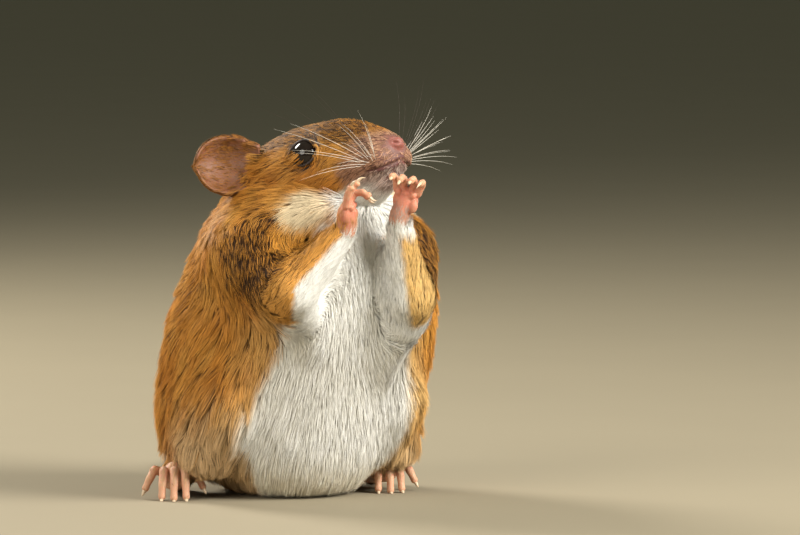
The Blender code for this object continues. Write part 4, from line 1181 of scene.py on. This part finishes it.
def strands(surface, roots, normals, lies, length, depth, wild):
    """Each strand's root, middle and tip, following the surface and rising to the coat's depth."""
    count = len(roots)
    side = np.cross(normals, lies)
    angle = RNG.normal(0, 1, count) * wild
    lies = units(lies * np.cos(angle)[:, None] + side * np.sin(angle)[:, None])
    middle, middle_normal, middle_lie = surface.step(roots, lies, length * STRAND_PARTS[0])
    onward = units(0.5 * lies + 0.5 * middle_lie)
    tip, tip_normal, _ = surface.step(middle, onward, length * STRAND_PARTS[1])
    rise = depth * RNG.uniform(0.55, 1.0, count)
    return np.stack([
        roots - normals * ROOT_DEPTH,
        middle + middle_normal * (rise * MIDDLE_RISE)[:, None],
        tip + tip_normal * (rise * RNG.uniform(0.8, 1.3, count))[:, None],
    ], 1), np.stack([normals, middle_normal, tip_normal], 1)


def grow_coat(surface, share):
    """All tufts: their lines, normals along them, widths, part, places on the skin and colours."""
    places, roots, normals, lies, (depth, length, width, _) = surface.scatter(share)
    part = surface.part[surface.triangles[places[0], 0]]
    count = len(roots)
    _, ticking, white = markings(roots)
    on_ear = np.isin(part, [k for k, name in enumerate(surface.names) if name.startswith("ear")])
    ticking = np.where(on_ear, EAR_TICKING, ticking)
    on_face = part == surface.names.index("face")
    muzzle = on_face * ramp(in_head(roots)[:, 1], -4.0, -5.6)
    length = length * RNG.uniform(0.72, 1.12, count) * (1 - 0.25 * ticking)
    chest = white * ramp(roots[:, 2], 14.0, 20.0)
    wild = 0.12 + (0.34 - 0.22 * on_face) * ticking + 0.08 * white + 0.32 * chest + 0.25 * muzzle
    guard = (RNG.uniform(0, 1, count) < GUARD_SHARE) & (depth > GUARD_DEPTH)
    length = np.where(guard, length * GUARD_LENGTH, length)
    width = np.where(guard, width * GUARD_WIDTH, width)
    depth = np.where(guard, depth * GUARD_RISE, depth)
    lines, frames = strands(surface, roots, normals, lies, length, depth, wild)
    # Clumps: each tuft leans to the strand of the clump that it is nearest to
    _, *seeds, (seed_depth, seed_length, *_) = surface.scatter(CLUMP_SHARE)
    seed_lines, _ = strands(surface, *seeds, seed_length, seed_depth * 1.05, 0.16)
    clump = nearest(kd_of(seeds[0]), roots)
    apart = norm(seeds[0][clump] - roots, axis=1)
    pull = np.exp(-(apart / (0.45 * length + 0.2)) ** 2) * (1 - 0.45 * white)
    for station, strength in CLUMP_PULLS.items():
        away = seed_lines[clump, station] - lines[:, station]
        lines[:, station] += away * (strength * pull)[:, None]
    lines[:, :, 2] = np.maximum(lines[:, :, 2], FLOOR + HAIR_CLEAR)
    # A tuft takes the colour of the place under its middle, where it shows
    color, ticking, white = markings(lines[:, 1])
    bright = np.where(on_ear, RNG.uniform(0.7, 1.15, count), 1.0)
    color = mix(color, EAR_HAIR, 0.8 * on_ear) * bright[:, None]
    ticking = np.where(on_ear, EAR_TICKING, ticking)
    ticking = np.where(guard & (white < 0.3), np.maximum(ticking, 0.6), ticking)
    bright = RNG.normal(0, 1, count) * (0.12 + 0.22 * muzzle)
    bright = np.exp(bright + 0.05 * RNG.normal(0, 1, len(seeds[0]))[clump])
    colors = tuft_colors(color * bright[:, None], ticking, surface.at("color", *places))
    return lines, frames, width, part, roots, colors


def tuft_colors(color, ticking, skin):
    """Root, middle and tip colours of each tuft, from the skin's colour to the coat's."""
    count = len(color)
    middle, tip = mix(skin, color * 0.92, 0.8), color * 1.12
    banded = RNG.uniform(0, 1, count) < ticking * BANDED_SHARE
    dark = RNG.uniform(0, 1, count) < DARK_SHARE
    gold_tip = TICK * RNG.uniform(0.8, 1.25, count)[:, None]
    for chosen, middle_color, tip_color in ((~dark, DARK * 1.6, gold_tip), (dark, DARK, DARK * 0.8)):
        chosen = (banded & chosen)[:, None]
        middle, tip = np.where(chosen, middle_color, middle), np.where(chosen, tip_color, tip)
    return np.clip(np.stack([skin * 0.9, middle, tip], 1), 0, 1)


# The unwrap's margin, and its span with room for the last tuft
UV_MARGIN = 0.01
UV_SPAN = 0.975


def unrolled(points):
    """Places on the unrolled surface of a part, from 0 to 1, round and along its longest way."""
    centre = points.mean(axis=0)
    _, _, axes = np.linalg.svd(points[:: max(1, len(points) // 2000)] - centre, full_matrices=False)
    local = (points - centre) @ axes.T
    round_it = np.arctan2(local[:, 2], local[:, 1]) / (2 * pi) + 0.5
    along = (local[:, 0] - local[:, 0].min()) / (np.ptp(local[:, 0]) + 1e-9)
    return UV_MARGIN + UV_SPAN * np.stack([round_it, along], 1)


# A tuft's size in the unwrap, its faces, its points' places, and how their normals lean across and up
PATCH = 0.003
TUFT_FACES = np.array([(0, 1, 2), (0, 2, 3), (0, 3, 1), (1, 4, 2), (2, 4, 3), (3, 4, 1)])
TUFT_PLACES = np.array([(0.5, 0), (0, 0.5), (0.5, 0.6), (1, 0.5), (0.5, 1)]) * PATCH
TUFT_STATIONS = (0, 1, 1, 1, 2)
TUFT_LEANS = ((0, 0.3), (0.45, 0), (0, 0.45), (-0.45, 0), (0, 0.2))
TUFT_THICKNESS = 0.55


def tuft_mesh(name, lines, frames, width, colors, uv):
    """Three-sided tufts, pointed at both ends, with a colour at each point and the skin's unwrap."""
    count = len(lines)
    along = lines[:, 2] - lines[:, 0]
    across = units(np.cross(along, frames[:, 1]))
    up = units(np.cross(across, along))
    half = (width / 2)[:, None]
    start, middle, end = lines.transpose(1, 0, 2)
    points = np.stack([start, middle + across * half, middle + up * half * TUFT_THICKNESS,
                       middle - across * half, end], 1)
    faces = (TUFT_FACES[None] + (np.arange(count) * 5)[:, None, None]).reshape(-1, 3)
    mesh = mesh_of(name, to_frame(points.reshape(-1, 3)), faces)
    paint(mesh, colors[:, TUFT_STATIONS].reshape(-1, 3))
    places = (uv[:, None] + TUFT_PLACES[None]).astype(np.float32)
    uv_layer = mesh.uv_layers.new(name="OFBake")
    uv_layer.data.foreach_set("uv", places.reshape(-1, 2)[faces.ravel()].ravel())
    mesh.shade_smooth()
    normals = np.stack([units(frames[:, station] + across * lean + up * lift)
                        for station, (lean, lift) in zip(TUFT_STATIONS, TUFT_LEANS)], 1)
    mesh.normals_split_custom_set_from_vertices(normals.reshape(-1, 3).astype(np.float32))
    return mesh


# Materials: the noise's scale and span, a colour where the mesh has none, and the surface's inputs
MATERIALS = {
    "coat": (900, (0.86, 1.12), None, {"Roughness": 0.62, "Specular IOR Level": 0.2}),
    "skin": (1400, (0.82, 1.16), None, {
        "Roughness": 0.58, "Subsurface Weight": 0.35, "Subsurface Radius": (1.0, 0.38, 0.25),
        "Subsurface Scale": 0.0005,
    }),
    "eye": (600, (0.7, 1.3), (0.012, 0.008, 0.006), {"Roughness": 0.04, "IOR": 1.4}),
    "claw": (1500, (0.85, 1.1), IVORY, {"Roughness": 0.3}),
    "floor": (40, (0.97, 1.03), tone(140, 130, 108), {"Roughness": 0.85}),
}
SKIN_CELLS = 4200
SKIN_BUMP = {"Strength": 0.5, "Distance": 0.00008}


def set_inputs(node, inputs):
    for name, value in inputs.items():
        node.inputs[name].default_value = value
    return node


def material_of(name):
    """A material with its colour multiplied by fine noise; the skin's has small cells too."""
    scale, (low, high), color, inputs = MATERIALS[name]
    material = bpy.data.materials.new(name)
    material.use_nodes = True
    nodes, link = material.node_tree.nodes, material.node_tree.links.new
    surface = set_inputs(nodes["Principled BSDF"], inputs)
    if color is None:
        source = nodes.new("ShaderNodeAttribute")
        source.attribute_name = COLOR_LAYER
    else:
        source = nodes.new("ShaderNodeRGB")
        source.outputs[0].default_value = (*color, 1)
    place = nodes.new("ShaderNodeTexCoord").outputs["Object"]
    noise = set_inputs(nodes.new("ShaderNodeTexNoise"), {"Scale": scale, "Detail": 4})
    link(place, noise.inputs["Vector"])
    span = set_inputs(nodes.new("ShaderNodeMapRange"), {"To Min": low, "To Max": high})
    link(noise.outputs["Fac"], span.inputs["Value"])
    times = nodes.new("ShaderNodeVectorMath")
    times.operation = "SCALE"
    link(source.outputs[0], times.inputs[0])
    link(span.outputs["Result"], times.inputs["Scale"])
    link(times.outputs["Vector"], surface.inputs["Base Color"])
    if name == "skin":
        cells = set_inputs(nodes.new("ShaderNodeTexVoronoi"), {"Scale": SKIN_CELLS})
        cells.feature = "DISTANCE_TO_EDGE"
        bump = set_inputs(nodes.new("ShaderNodeBump"), SKIN_BUMP)
        link(place, cells.inputs["Vector"])
        link(cells.outputs["Distance"], bump.inputs["Height"])
        link(bump.outputs["Normal"], surface.inputs["Normal"])
    return material


# Eyes, claws and whiskers
def solids_piece(name, solids, material):
    points, faces = joined(solids)
    mesh = bpy.data.meshes.new(name)
    mesh.from_pydata(to_frame(points).tolist(), [], faces)
    mesh.shade_smooth()
    return piece(name, mesh, material)


def add_eyes():
    material = material_of("eye")
    for side_name, side in SIDES.items():
        points, faces = ball(sided(EYE_PLACE, side), (EYE_RADIUS,) * 3, np.eye(3), 64, 48)
        eye = solids_piece("eyeball_" + side_name, [(from_head(points), faces)], material)
        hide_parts("eye_" + side_name)


# Whiskers: rows down each pad, columns back along it; the upper rows are dark
WHISKER_ROWS = 5
WHISKER_COLUMNS = 5
WHISKER_RADIUS = 0.021
WHISKER_SHARES = (1.0, 0.8, 0.5, 0.15)
# Along a whisker and towards its curl, as shares of its length
WHISKER_LINE = ((0.0, 0.0), (0.35, 0.0), (0.7, 0.06), (0.97, 0.17))


def whisker_line(row, column):
    """A left whisker's root, bends and tip, in the head's frame."""
    down, back = row / (WHISKER_ROWS - 1), column / (WHISKER_COLUMNS - 1)
    wobble = sin(5.1 * row + 3.7 * column)
    root = np.array(PLUG[0]) + (0.7, -1.0 + 1.7 * back, 0.55 - 1.05 * down)
    way = unit((0.8, -0.75 + 0.95 * back + 0.12 * wobble, 0.95 - 0.95 * down))
    length = (5.0 + 6.5 * back) * (1 + 0.12 * wobble) * (1 - 0.25 * down)
    curl = np.array((0.1, 0.45, 0.35 - 0.7 * down)) * length
    return [root + way * length * along + curl * bend for along, bend in WHISKER_LINE]


def add_whiskers(material):
    radii = [WHISKER_RADIUS * share for share in WHISKER_SHARES]
    for side_name, side in SIDES.items():
        solids, colors = [], []
        for row in range(WHISKER_ROWS):
            for column in range(WHISKER_COLUMNS):
                line = from_head(sided(whisker_line(row, column), side))
                solids.append(tube(line, radii, 6, 7))
                color = WHISKER_DARK if row < 2 and column > 0 else WHISKER_PALE
                colors.append(np.tile(color, (len(solids[-1][0]), 1)))
        fan = solids_piece("whisker_fan_" + side_name, solids, material)
        paint(fan.data, np.concatenate(colors))
        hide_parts("whiskers_" + side_name)


set_camera()
set_lights()

face = face_surface()
parts = {"body": sunk_under(body_surface(), face), "face": face}
for side_name, side in SIDES.items():
    parts["ear_" + side_name] = ear_surface(side)
claws = []
for side_name in SIDES:
    for kind, paw in (("hand_", hand_surface), ("foot_", foot_surface)):
        parts[kind + side_name], ends = paw(side_name)
        claws += ends
parts["tail"] = tail_surface()
surface = Surface(parts)

skin_mesh = mesh_of("skin", to_frame(surface.points), surface.triangles)
paint(skin_mesh, surface.color)
skin_mesh.shade_smooth()
skin = piece("skin", skin_mesh, material_of("skin"))
flesh = [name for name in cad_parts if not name.startswith(("eye_", "whiskers_"))]
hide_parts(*flesh)

coat = material_of("coat")
lines, frames, width, part, roots, colors = grow_coat(surface, 1.0)
for number, name in enumerate(surface.names):
    chosen = np.flatnonzero(part == number)
    if not len(chosen):
        continue
    uv = unrolled(roots[chosen])
    pieces = int(np.ceil(len(chosen) / TUFT_LIMIT))
    for k, group in enumerate(np.array_split(np.argsort(uv[:, 0]), pieces)):
        index = chosen[group]
        label = "coat_" + name + (f"_{k + 1}" if pieces > 1 else "")
        mesh = tuft_mesh(label, lines[index], frames[index], width[index], colors[index], uv[group])
        piece(label, mesh, coat)

add_eyes()
solids_piece("claws", claws, material_of("claw"))
add_whiskers(coat)

# Floor
FLOOR_HALF = 3
FLOOR_GAP = 0.00002
corners = [(x * FLOOR_HALF, y * FLOOR_HALF, 0) for x, y in ((-1, -1), (1, -1), (1, 1), (-1, 1))]
floor = placed("floor", mesh_of("floor", corners, [(0, 1, 2, 3)]), material_of("floor"))
floor.location.z = CAD_BOX[0][2] - FLOOR_GAP

bpy.context.scene.view_settings.view_transform = "Standard"
